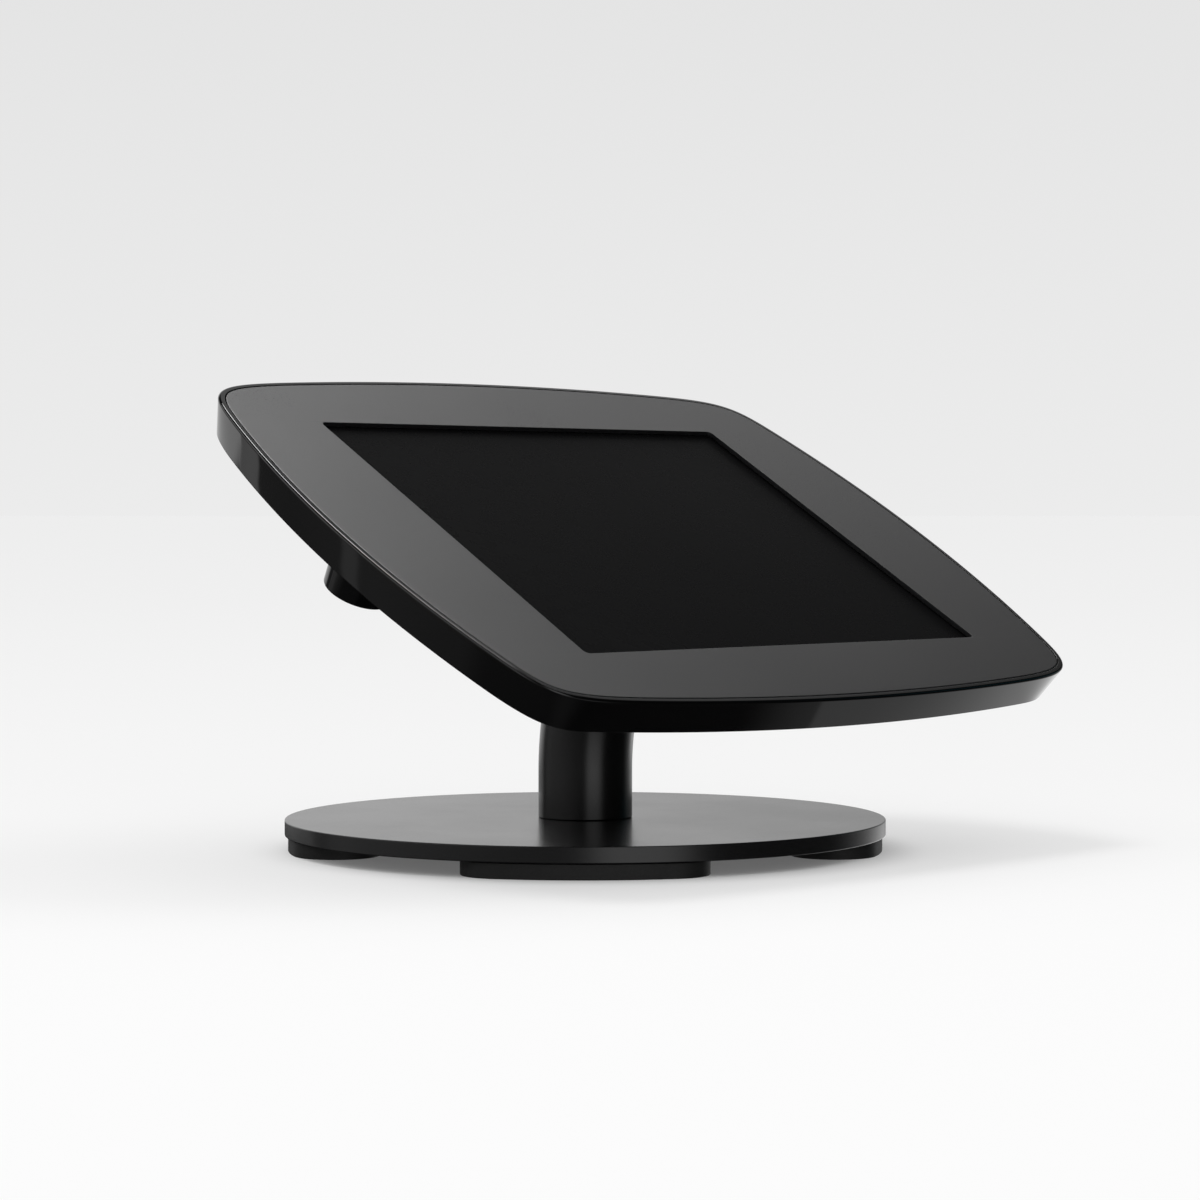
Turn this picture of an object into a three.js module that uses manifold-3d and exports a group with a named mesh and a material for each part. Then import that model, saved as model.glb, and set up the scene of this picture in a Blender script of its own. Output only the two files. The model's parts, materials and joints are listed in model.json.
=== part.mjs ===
// Counter-top tablet payment terminal: a tablet locked in a slim moulded enclosure, on a bent tubular arm
// that stands on a round steel base plate with four rubber pads. Units are millimetres, +Z is up.
//
// Row frame: origin on the counter surface, at the middle of the object's footprint box.
// +X runs along the enclosure's long side, +Y points away from the person who uses the screen.
import * as THREE from "three";
import { mergeVertices } from "three/addons/utils/BufferGeometryUtils.js";
import Module from "manifold-3d";

const wasm = await Module();
wasm.setup();

// ---------------------------------------------------------------- driving dimensions
const ARM_Y = 10.41; // y of the base plate's centre and of the arm's vertical axis

const FOOT_H = 6; // rubber pads
const FOOT_RC = 97.5; // radius of a pad's centre line
const FOOT_HALF_W = 16.2; // half its width
const FOOT_HALF_ARC = 17; // degrees from its middle to the centre of each round end

const PLATE_R = 115;
const PLATE_T = 6;
const PLATE_HOLE_R = 6.2; // cable hole
const PLATE_TOP = FOOT_H + PLATE_T;

const TUBE_R = 18;
const TUBE_BORE_R = 15;
const TUBE_BEND_START = 18.4; // height above the plate where the bend begins
const TUBE_BEND_R = 105; // radius of the bend's centre line
const TILT = 30.386; // degrees: the bend's angle, and the screen's angle to the counter
const HEAD_REACH = 44.1; // from the end of the bend to the faceplate's surface, along the head axis

const BASE_SCREW_RC = 11.4; // four M4 screws on this radius
const M4_R = 2.0;
const M4_HOLE_R = 2.25;

// Head frame: origin at the centre of the faceplate's surface, u = X, v up the slope, w out of the screen.
const FACE_T = 1.8; // faceplate thickness
const GROOVE = 0.2; // half the groove between the faceplate and the rim
const RIM = 2.53; // rim's outer edge, outside the groove's middle line
const SHELL_BACK = -14.66; // w of the enclosure's flat back
const SHELL_WALL = 2.5;
const SHELL_FLOOR = SHELL_BACK + SHELL_WALL;
const LEDGE = -2.1; // w of the ledge that carries the faceplate
const APERTURE_W = 210.3; // screen aperture
const APERTURE_H = 160.0;
const APERTURE_R = 2.2;

// Groove's middle line: side arcs of radius r1, top and bottom arcs of radius r2, and a blended corner
// between (.., ya) on the side arc and (xb, ..) on the top arc with tangent handles h1 and h2.
const OUTLINE_TOP = { w: 152.991, h: 112.951, r1: 362.316, r2: 1108.64, ya: 80.864, xb: 95.091, h1: 21.682, h2: 41.146 };
// Edge between the side wall and the flat back, at w = SHELL_BACK
const OUTLINE_BACK = { w: 151.993, h: 112.132, r1: 356.5, r2: 1040, ya: 76.131, xb: 111.319, h1: 28.754, h2: 19.141 };

const BOSS_R = 46; // round boss on the back that houses the swivel
const BOSS_BACK = -20.66;
const BOSS_POCKET_R = 43;
const BOSS_FLOOR = -18.16;
const SWIVEL_HOLE_R = 22;
const CABLE_BORE_R = 10.5;
const HUB_SCREW_RC = 16;
const FLANGE_R = 38;
const FLANGE_TOP = -22.3;
const FLANGE_T = 4;
const RETAINER_R = 32;
const STOP_HALF = 12; // degrees: half the width of the retainer's stop tab
const STOP_GAP = 1; // degrees of play at each stop
const SWIVEL_TRAVEL = 90; // degrees: landscape to portrait

const LOCK_U = -137.5; // lock boss centre
const LOCK_BOSS_R = 12.3; // at its end face
const LOCK_BOSS_BASE_R = 13.6;
const LOCK_BOSS_END = -23.8;
const LOCK_BORE_R = 9.3;

const TABLET_W = 250.6;
const TABLET_H = 174.1;
const TABLET_R = 11;
const GLASS_TOP = -2.15;
const TABLET_T = 7.5;
const TABLET_BACK = GLASS_TOP - TABLET_T;

// ---------------------------------------------------------------- helpers
// A closed THREE geometry as a manifold solid.
function solid(geometry) {
  const g = geometry.index ? geometry.toNonIndexed() : geometry.clone();
  for (const name of Object.keys(g.attributes)) if (name !== "position") g.deleteAttribute(name);
  const merged = mergeVertices(g, 1e-4);
  return new wasm.Manifold(
    new wasm.Mesh({
      numProp: 3,
      vertProperties: new Float32Array(merged.attributes.position.array),
      triVerts: new Uint32Array(merged.index.array),
    }),
  );
}

// A manifold solid as a flat-shaded THREE geometry.
function geometryOf(m) {
  const mesh = m.getMesh();
  const n = mesh.numProp;
  const position = new Float32Array(mesh.numVert * 3);
  for (let i = 0; i < mesh.numVert; i++) position.set(mesh.vertProperties.subarray(i * n, i * n + 3), i * 3);
  const g = new THREE.BufferGeometry()
    .setAttribute("position", new THREE.BufferAttribute(position, 3))
    .setIndex(new THREE.BufferAttribute(new Uint32Array(mesh.triVerts), 1))
    .toNonIndexed();
  g.computeVertexNormals();
  return g;
}

const rad = THREE.MathUtils.degToRad;

// Turned solid about Z from a profile of [radius, z] pairs, starting and ending on the axis or closed on itself.
function turned(profile, segments) {
  const onAxis = profile[0][0] === 0;
  const points = profile.map(([r, z]) => new THREE.Vector2(r, z));
  if (!onAxis) points.push(points[0].clone());
  const g = new THREE.LatheGeometry(points, segments);
  g.rotateX(Math.PI / 2);
  let s = solid(g);
  if (s.volume() < 0) {
    // the profile ran the other way round
    const reversed = new THREE.LatheGeometry(points.reverse(), segments);
    reversed.rotateX(Math.PI / 2);
    s = solid(reversed);
  }
  return s;
}

// Prism of a 2-D outline between z0 and z1, with optional holes.
function prism(points, z0, z1, holes = []) {
  const shape = new THREE.Shape(points.map(([x, y]) => new THREE.Vector2(x, y)));
  for (const hole of holes) shape.holes.push(new THREE.Path(hole.map(([x, y]) => new THREE.Vector2(x, y))));
  const g = new THREE.ExtrudeGeometry(shape, { depth: z1 - z0, bevelEnabled: false, curveSegments: 12 });
  g.translate(0, 0, z0);
  return solid(g);
}

// Solid through rings of equally many [x, y, z] points; each ring runs counter-clockwise seen from the last ring.
function loft(rings) {
  const n = rings[0].length;
  const position = [];
  const push = (...ps) => ps.forEach((p) => position.push(...p));
  for (let k = 0; k + 1 < rings.length; k++)
    for (let i = 0; i < n; i++) {
      const j = (i + 1) % n;
      const [a, b, c, d] = [rings[k][i], rings[k][j], rings[k + 1][j], rings[k + 1][i]];
      push(a, b, c, a, c, d);
    }
  const cap = (ring, flip) => {
    const o = new THREE.Vector3();
    ring.forEach((p) => o.add(new THREE.Vector3(...p)));
    o.divideScalar(n);
    const c = [o.x, o.y, o.z];
    for (let i = 0; i < n; i++) {
      const j = (i + 1) % n;
      if (flip) push(c, ring[j], ring[i]);
      else push(c, ring[i], ring[j]);
    }
  };
  cap(rings[0], true);
  cap(rings[rings.length - 1], false);
  const g = new THREE.BufferGeometry().setAttribute("position", new THREE.Float32BufferAttribute(position, 3));
  return solid(g);
}

// The enclosure's outline, moved outwards by off.
function outline(p, off, nSide = 4, nCorner = 7, nTop = 4) {
  const quadrant = [];
  const add = (x, y, nx, ny) => quadrant.push([x + nx * off, y + ny * off]);
  for (let i = 0; i <= nSide; i++) {
    const y = (p.ya * i) / nSide;
    const x = p.w - (p.r1 - Math.sqrt(p.r1 * p.r1 - y * y));
    add(x, y, (x - (p.w - p.r1)) / p.r1, y / p.r1);
  }
  const xa = p.w - (p.r1 - Math.sqrt(p.r1 * p.r1 - p.ya * p.ya));
  const yb = p.h - (p.r2 - Math.sqrt(p.r2 * p.r2 - p.xb * p.xb));
  const unit = (x, y) => new THREE.Vector2(x, y).normalize();
  const t1 = unit(-p.ya / Math.sqrt(p.r1 * p.r1 - p.ya * p.ya), 1);
  const t2 = unit(-1, p.xb / Math.sqrt(p.r2 * p.r2 - p.xb * p.xb));
  const corner = new THREE.CubicBezierCurve(
    new THREE.Vector2(xa, p.ya),
    new THREE.Vector2(xa + t1.x * p.h1, p.ya + t1.y * p.h1),
    new THREE.Vector2(p.xb - t2.x * p.h2, yb - t2.y * p.h2),
    new THREE.Vector2(p.xb, yb),
  );
  for (let i = 1; i < nCorner; i++) {
    const t = i / nCorner;
    const q = corner.getPoint(t);
    const d = corner.getTangent(t);
    add(q.x, q.y, d.y, -d.x);
  }
  for (let i = nTop; i >= 0; i--) {
    const x = (p.xb * i) / nTop;
    const y = p.h - (p.r2 - Math.sqrt(p.r2 * p.r2 - x * x));
    add(x, y, x / p.r2, (y - (p.h - p.r2)) / p.r2);
  }
  const last = quadrant.length - 1;
  const ring = [...quadrant];
  for (let i = last - 1; i >= 0; i--) ring.push([-quadrant[i][0], quadrant[i][1]]);
  for (let i = 1; i <= last; i++) ring.push([-quadrant[i][0], -quadrant[i][1]]);
  for (let i = last - 1; i >= 1; i--) ring.push([quadrant[i][0], -quadrant[i][1]]);
  return ring;
}
const lift = (ring, z) => ring.map(([x, y]) => [x, y, z]);
const mix = (a, b, t) => a.map((p, i) => [p[0] + (b[i][0] - p[0]) * t, p[1] + (b[i][1] - p[1]) * t]);

// Rectangle with rounded corners, counter-clockwise, centred on (cx, cy).
function roundRect(w, h, r, n = 5, cx = 0, cy = 0) {
  const out = [];
  for (const [sx, sy, a0] of [[1, -1, -90], [1, 1, 0], [-1, 1, 90], [-1, -1, 180]])
    for (let i = 0; i <= n; i++) {
      const a = rad(a0 + (90 * i) / n);
      out.push([cx + sx * (w / 2 - r) + r * Math.cos(a), cy + sy * (h / 2 - r) + r * Math.sin(a)]);
    }
  return out;
}

// Ring sector between two radii and two angles in degrees.
function sector(r0, r1, a0, a1, n) {
  const out = [];
  for (let i = 0; i <= n; i++) out.push([r1 * Math.cos(rad(a0 + ((a1 - a0) * i) / n)), r1 * Math.sin(rad(a0 + ((a1 - a0) * i) / n))]);
  for (let i = n; i >= 0; i--) out.push([r0 * Math.cos(rad(a0 + ((a1 - a0) * i) / n)), r0 * Math.sin(rad(a0 + ((a1 - a0) * i) / n))]);
  return out;
}

const circle = (r, n, cx = 0, cy = 0, a0 = 0) =>
  Array.from({ length: n }, (_, i) => [cx + r * Math.cos(a0 + (2 * Math.PI * i) / n), cy + r * Math.sin(a0 + (2 * Math.PI * i) / n)]);

// Cylinder along Z, used as a cutter.
const rod = (r, z0, z1, n, cx = 0, cy = 0) => prism(circle(r, n, cx, cy), z0, z1);

// ---------------------------------------------------------------- materials
const material = (color, roughness, metalness) => new THREE.MeshStandardMaterial({ color, roughness, metalness });
const POWDER_BLACK = material(0x0e0e0f, 0.5, 0.0);
const GLOSS_BLACK = material(0x050506, 0.12, 0.0);
const SATIN_BLACK = material(0x1c1c1e, 0.38, 0.0);
const RUBBER_BLACK = material(0x0b0b0b, 0.85, 0.0);
const STEEL = material(0xb4b4b2, 0.35, 1.0);
const ACETAL = material(0xe4e2dc, 0.5, 0.0);
const CHROME = material(0xc9c9cc, 0.15, 1.0);
const GLASS_BLACK = material(0x030304, 0.08, 0.0);
const TABLET_GREY = material(0x8d8f93, 0.4, 1.0);
const PANEL_BLACK = material(0x08080a, 0.3, 0.0);
const BATTERY = material(0x2a2b2e, 0.5, 0.0);
const BOARD = material(0x14402c, 0.5, 0.0);
const FOAM = material(0x202021, 0.9, 0.0);

const root = new THREE.Group();
const base = new THREE.Group(); // origin on the counter under the arm's axis
base.position.set(0, ARM_Y, 0);
const head = new THREE.Group(); // the head frame
const bendEndY = -TUBE_BEND_R * (1 - Math.cos(rad(TILT)));
const bendEndZ = TUBE_BEND_START + TUBE_BEND_R * Math.sin(rad(TILT));
head.position.set(
  0,
  ARM_Y + bendEndY - HEAD_REACH * Math.sin(rad(TILT)),
  PLATE_TOP + bendEndZ + HEAD_REACH * Math.cos(rad(TILT)),
);
head.rotation.x = rad(TILT);
root.add(base, head);

function place(group, name, m, mat, x = 0, y = 0, z = 0, turn = 0) {
  const mesh = new THREE.Mesh(geometryOf(m), mat);
  mesh.name = name;
  mesh.position.set(x, y, z);
  mesh.rotation.z = rad(turn);
  group.add(mesh);
}

// ---------------------------------------------------------------- base plate
{
  const c = 0.4; // edge break
  let plate = turned(
    [
      [PLATE_HOLE_R, FOOT_H],
      [PLATE_R - c, FOOT_H],
      [PLATE_R, FOOT_H + c],
      [PLATE_R, PLATE_TOP - c],
      [PLATE_R - c, PLATE_TOP],
      [PLATE_HOLE_R, PLATE_TOP],
    ],
    80,
  );
  for (let i = 0; i < 4; i++) {
    const a = rad(45 + 90 * i);
    const cut = turned(
      [
        [0, FOOT_H - 1],
        [4.5, FOOT_H - 1],
        [4.5, FOOT_H],
        [2.3, FOOT_H + 2.2],
        [2.3, PLATE_TOP + 1],
        [0, PLATE_TOP + 1],
      ],
      14,
    ).translate([BASE_SCREW_RC * Math.cos(a), BASE_SCREW_RC * Math.sin(a), 0]);
    plate = plate.subtract(cut);
  }
  place(base, "base_plate", plate, POWDER_BLACK);
}

// Bean-shaped rubber pads, one on each diagonal.
{
  const n = 7;
  const pad = (inset) => {
    const out = [];
    const hw = FOOT_HALF_W - inset;
    const end = (a, from) => {
      for (let i = 1; i < n; i++) {
        const b = rad(a + from + (180 * i) / n);
        out.push([FOOT_RC * Math.cos(rad(a)) + hw * Math.cos(b), FOOT_RC * Math.sin(rad(a)) + hw * Math.sin(b)]);
      }
    };
    for (let i = 0; i <= 8; i++) {
      const a = rad(-FOOT_HALF_ARC + (2 * FOOT_HALF_ARC * i) / 8);
      out.push([(FOOT_RC + hw) * Math.cos(a), (FOOT_RC + hw) * Math.sin(a)]);
    }
    end(FOOT_HALF_ARC, 0);
    for (let i = 6; i >= 0; i--) {
      const a = rad(-FOOT_HALF_ARC + (2 * FOOT_HALF_ARC * i) / 6);
      out.push([(FOOT_RC - hw) * Math.cos(a), (FOOT_RC - hw) * Math.sin(a)]);
    }
    end(-FOOT_HALF_ARC, 180);
    return out;
  };
  // Rings from the counter up, so that each runs counter-clockwise seen from above.
  const shape = loft([lift(pad(0.5), 0), lift(pad(0), 0.5), lift(pad(0), FOOT_H - 0.3)]);
  for (const [name, a] of [["back_right", 45], ["back_left", 135], ["front_left", 225], ["front_right", 315]])
    place(base, "foot_pad_" + name, shape, RUBBER_BLACK, 0, 0, 0, a);
}

// Rubber bush in the cable hole.
place(
  base,
  "cable_grommet",
  turned(
    [
      [4.5, 4.5],
      [7.0, 4.5],
      [7.0, 5.7],
      [5.9, 5.7],
      [5.9, 12.3],
      [7.4, 12.3],
      [7.4, 13.5],
      [4.5, 13.5],
    ],
    20,
  ),
  RUBBER_BLACK,
);

// Countersunk screws from below into the arm's foot plug.
for (let i = 0; i < 4; i++) {
  const a = rad(45 + 90 * i);
  const screw = turned(
    [
      [0, FOOT_H + 0.1],
      [4.0, FOOT_H + 0.1],
      [4.0, FOOT_H + 0.3],
      [M4_R, FOOT_H + 2.3],
      [M4_R, 23.4],
      [1.5, 24],
      [0, 24],
    ],
    12,
  ).subtract(prism(circle(1.45, 6), FOOT_H - 1, FOOT_H + 1.7));
  place(base, "base_screw_" + (i + 1), screw, STEEL, BASE_SCREW_RC * Math.cos(a), BASE_SCREW_RC * Math.sin(a), 0);
}

// ---------------------------------------------------------------- arm
{
  // Stations along the centre line: [distance forward, height, angle]
  const stations = [[0, PLATE_TOP + 0.05, 0]];
  const steps = 9;
  for (let i = 0; i <= steps; i++) {
    const a = (TILT * i) / steps;
    stations.push([-TUBE_BEND_R * (1 - Math.cos(rad(a))), PLATE_TOP + TUBE_BEND_START + TUBE_BEND_R * Math.sin(rad(a)), a]);
  }
  const straight = HEAD_REACH + FLANGE_TOP - FLANGE_T - 0.3;
  const lastStation = stations[stations.length - 1];
  stations.push([
    lastStation[0] - straight * Math.sin(rad(TILT)),
    lastStation[1] + straight * Math.cos(rad(TILT)),
    TILT,
  ]);
  const rings = (r, extra) =>
    stations.map(([y, z, a], k) => {
      const push = k === 0 ? -extra : k === stations.length - 1 ? extra : 0;
      return Array.from({ length: 28 }, (_, i) => {
        const b = (2 * Math.PI * i) / 28;
        const v = r * Math.sin(b);
        return [
          r * Math.cos(b),
          y + v * Math.cos(rad(a)) - push * Math.sin(rad(a)),
          z + v * Math.sin(rad(a)) + push * Math.cos(rad(a)),
        ];
      });
    });
  const tube = loft(rings(TUBE_R, 0)).subtract(loft(rings(TUBE_BORE_R, 1)));
  place(base, "arm_tube", tube, POWDER_BLACK);

  let plug = turned(
    [
      [8.0, PLATE_TOP + 0.3],
      [14.6, PLATE_TOP + 0.3],
      [14.6, PLATE_TOP + 16],
      [8.0, PLATE_TOP + 16],
    ],
    28,
  );
  for (let i = 0; i < 4; i++) {
    const a = rad(45 + 90 * i);
    plug = plug.subtract(
      rod(M4_HOLE_R, PLATE_TOP - 1, PLATE_TOP + 14, 12, BASE_SCREW_RC * Math.cos(a), BASE_SCREW_RC * Math.sin(a)),
    );
  }
  place(base, "arm_foot_plug", plug, STEEL);
}

const hubHoles = (m, z0, z1) => {
  for (let i = 0; i < 4; i++) {
    const a = rad(45 + 90 * i);
    m = m.subtract(rod(M4_HOLE_R, z0, z1, 12, HUB_SCREW_RC * Math.cos(a), HUB_SCREW_RC * Math.sin(a)));
  }
  return m;
};

place(
  head,
  "arm_head_flange",
  hubHoles(
    turned(
      [
        [CABLE_BORE_R, FLANGE_TOP - FLANGE_T - 8],
        [14.6, FLANGE_TOP - FLANGE_T - 8],
        [14.6, FLANGE_TOP - FLANGE_T],
        [FLANGE_R - 0.6, FLANGE_TOP - FLANGE_T],
        [FLANGE_R, FLANGE_TOP - FLANGE_T + 0.6],
        [FLANGE_R, FLANGE_TOP],
        [CABLE_BORE_R, FLANGE_TOP],
      ],
      36,
    ),
    FLANGE_TOP - 3.9,
    FLANGE_TOP + 1,
  ),
  POWDER_BLACK,
);

// ---------------------------------------------------------------- swivel
place(
  head,
  "hub_friction_washer",
  turned([[22.5, FLANGE_TOP + 0.3], [36, FLANGE_TOP + 0.3], [36, BOSS_BACK - 0.34], [22.5, BOSS_BACK - 0.34]], 32),
  ACETAL,
);
place(
  head,
  "hub_bush",
  hubHoles(turned([[CABLE_BORE_R, FLANGE_TOP + 0.3], [21.6, FLANGE_TOP + 0.3], [21.6, -17.3], [CABLE_BORE_R, -17.3]], 32), -23, -17),
  ACETAL,
);
place(head, "hub_wave_washer", turned([[23, -17.86], [30, -17.86], [30, -17.3], [23, -17.3]], 32), STEEL);
place(
  head,
  "hub_retainer",
  hubHoles(
    turned([[CABLE_BORE_R, -17.0], [RETAINER_R, -17.0], [RETAINER_R, -14.5], [CABLE_BORE_R, -14.5]], 36).add(
      prism(sector(RETAINER_R - 4, 38, -STOP_HALF, STOP_HALF, 3), -17.0, -14.5),
    ),
    -18,
    -14,
  ),
  STEEL,
);
for (let i = 0; i < 4; i++) {
  const a = rad(45 + 90 * i);
  const screw = turned(
    [
      [0, FLANGE_TOP - 3.6],
      [1.5, FLANGE_TOP - 3.6],
      [M4_R, FLANGE_TOP - 3.1],
      [M4_R, -14.2],
      [3.7, -14.2],
      [3.7, -12.6],
      [3.0, -12.2],
      [0, -12.2],
    ],
    12,
  ).subtract(prism(circle(1.45, 6), -13.6, -11));
  place(head, "hub_screw_" + (i + 1), screw, STEEL, HUB_SCREW_RC * Math.cos(a), HUB_SCREW_RC * Math.sin(a), 0);
}

// ---------------------------------------------------------------- enclosure body
{
  const rimTop = (off) => outline(OUTLINE_TOP, off);
  const back = (off) => outline(OUTLINE_BACK, off);
  const r = 0.85; // outer radius of the rim
  const foot = 0.5; // radius of the wall's back edge
  let body = loft([
    lift(back(-foot), SHELL_BACK),
    lift(mix(back(0), rimTop(RIM), foot / (-r - SHELL_BACK)), SHELL_BACK + foot),
    lift(rimTop(RIM), -r),
    lift(rimTop(RIM - r * (1 - Math.cos(rad(45)))), -r * (1 - Math.sin(rad(45)))),
    lift(rimTop(RIM - r), 0),
  ]);
  // Round boss for the swivel and smaller boss for the lock.
  body = body.add(
    turned(
      [
        [0, BOSS_BACK],
        [BOSS_R - 1.2, BOSS_BACK],
        [BOSS_R, BOSS_BACK + 1.2],
        [BOSS_R + 0.8, SHELL_BACK - 1],
        [BOSS_R + 1.8, SHELL_BACK],
        [BOSS_R + 1.8, SHELL_FLOOR],
        [0, SHELL_FLOOR],
      ],
      56,
    ),
  );
  body = body.add(
    turned(
      [
        [0, LOCK_BOSS_END],
        [LOCK_BOSS_R - 0.6, LOCK_BOSS_END],
        [LOCK_BOSS_R, LOCK_BOSS_END + 0.6],
        [LOCK_BOSS_BASE_R, SHELL_BACK - 0.8],
        [LOCK_BOSS_BASE_R + 0.6, SHELL_BACK],
        [LOCK_BOSS_BASE_R + 0.6, SHELL_BACK + 1],
        [0, SHELL_BACK + 1],
      ],
      32,
    ).translate([LOCK_U, 0, 0]),
  );
  // Recess for the faceplate, and the tray below it.
  body = body.subtract(prism(rimTop(GROOVE), LEDGE, 1));
  body = body.subtract(loft([lift(back(-2.2), SHELL_FLOOR), lift(rimTop(-2.2), LEDGE + 0.01)]));
  // Pocket and hole of the swivel, and the lock's bore.
  body = body.subtract(rod(BOSS_POCKET_R, BOSS_FLOOR, SHELL_FLOOR + 1, 56));
  body = body.subtract(rod(SWIVEL_HOLE_R, BOSS_BACK - 1, BOSS_FLOOR + 1, 40));
  body = body.subtract(rod(LOCK_BORE_R, LOCK_BOSS_END - 1, SHELL_FLOOR + 1, 28, LOCK_U, 0));
  // Stops that the retainer's tab meets at landscape and at portrait.
  const a = STOP_HALF + STOP_GAP;
  body = body.add(prism(sector(34, BOSS_POCKET_R + 0.5, a, a + 18, 3), BOSS_FLOOR - 0.5, -14.2));
  body = body.add(
    prism(sector(34, BOSS_POCKET_R + 0.5, -a - SWIVEL_TRAVEL - 18, -a - SWIVEL_TRAVEL, 3), BOSS_FLOOR - 0.5, -14.2),
  );
  place(head, "enclosure_body", body, GLOSS_BLACK);
}

// ---------------------------------------------------------------- faceplate and its fixings
place(
  head,
  "faceplate",
  loft([
    lift(outline(OUTLINE_TOP, -GROOVE), -FACE_T),
    lift(outline(OUTLINE_TOP, -GROOVE), -0.25),
    lift(outline(OUTLINE_TOP, -GROOVE - 0.25), 0),
  ]).subtract(prism(roundRect(APERTURE_W, APERTURE_H, APERTURE_R), -FACE_T - 1, 1)),
  SATIN_BLACK,
);
const FIX = [
  [139, 48],
  [-139, 48],
  [-139, -48],
  [139, -48],
];
FIX.forEach(([x, y], i) => {
  place(
    head,
    "faceplate_stud_" + (i + 1),
    turned(
      [
        [0, -9.6],
        [1.2, -9.6],
        [2.1, -8.6],
        [1.6, -7.2],
        [2.0, -6.2],
        [2.0, -2.9],
        [4.5, -2.9],
        [4.5, -FACE_T - 0.3],
        [0, -FACE_T - 0.3],
      ],
      14,
    ),
    ACETAL,
    x,
    y,
  );
  place(
    head,
    "snap_socket_" + (i + 1),
    turned([[2.55, SHELL_FLOOR + 0.3], [4.4, SHELL_FLOOR + 0.3], [4.4, -6.5], [2.55, -6.5]], 14),
    ACETAL,
    x,
    y,
  );
});
{
  // Bracket behind the faceplate: a foot that the lock's cam turns over.
  const bar = (x0, x1, y0, y1, z0, z1) => prism([[x0, y0], [x1, y0], [x1, y1], [x0, y1]], z0, z1);
  const keeper = bar(-8, 8, 13.2, 25, -3.3, -FACE_T - 0.3)
    .add(bar(-5, 5, 13.2, 14.6, -9.2, -3.0))
    .add(bar(-5, 5, 9.7, 14.6, -9.2, -8.0));
  place(head, "latch_keeper", keeper, STEEL, LOCK_U, 0);
}

// ---------------------------------------------------------------- lock
place(
  head,
  "lock_barrel",
  turned(
    [
      [6.3, -23.3],
      [8.6, -23.3],
      [9.0, -22.9],
      [9.0, -8.3],
      [6.3, -8.3],
    ],
    28,
  ),
  CHROME,
  LOCK_U,
  0,
);
place(
  head,
  "lock_nut",
  prism(circle(12.2, 6), SHELL_FLOOR + 0.3, -9.7).subtract(rod(9.3, -13, -9, 28)),
  STEEL,
  LOCK_U,
  0,
  0,
  30,
);
place(
  head,
  "lock_plug",
  rod(6.0, -23.0, -8.0, 24)
    .add(prism([[-2.8, -2.8], [2.8, -2.8], [2.8, 2.8], [-2.8, 2.8]], -8.1, -5.6))
    .subtract(prism(roundRect(8.0, 2.0, 0.9, 2), -24, -17))
    .subtract(rod(1.6, -12, -5, 12)),
  CHROME,
  LOCK_U,
  0,
);
{
  const cam = [];
  for (let i = 0; i <= 8; i++) cam.push([5.6 * Math.cos(rad(-90 + (180 * i) / 8)), 5.6 * Math.sin(rad(-90 + (180 * i) / 8))]);
  for (let i = 0; i <= 6; i++) cam.push([-7.4 + 4.1 * Math.cos(rad(90 + (180 * i) / 6)), 4.1 * Math.sin(rad(90 + (180 * i) / 6))]);
  place(head, "lock_cam", prism(cam, -7.6, -6.1, [[[-3.1, -3.1], [-3.1, 3.1], [3.1, 3.1], [3.1, -3.1]]]), STEEL, LOCK_U, 0);
}
place(
  head,
  "lock_cam_screw",
  turned([[0, -11], [1.25, -11], [1.25, -5.3], [4.4, -5.3], [4.4, -4.1], [3.6, -3.7], [0, -3.7]], 14),
  STEEL,
  LOCK_U,
  0,
);

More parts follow.
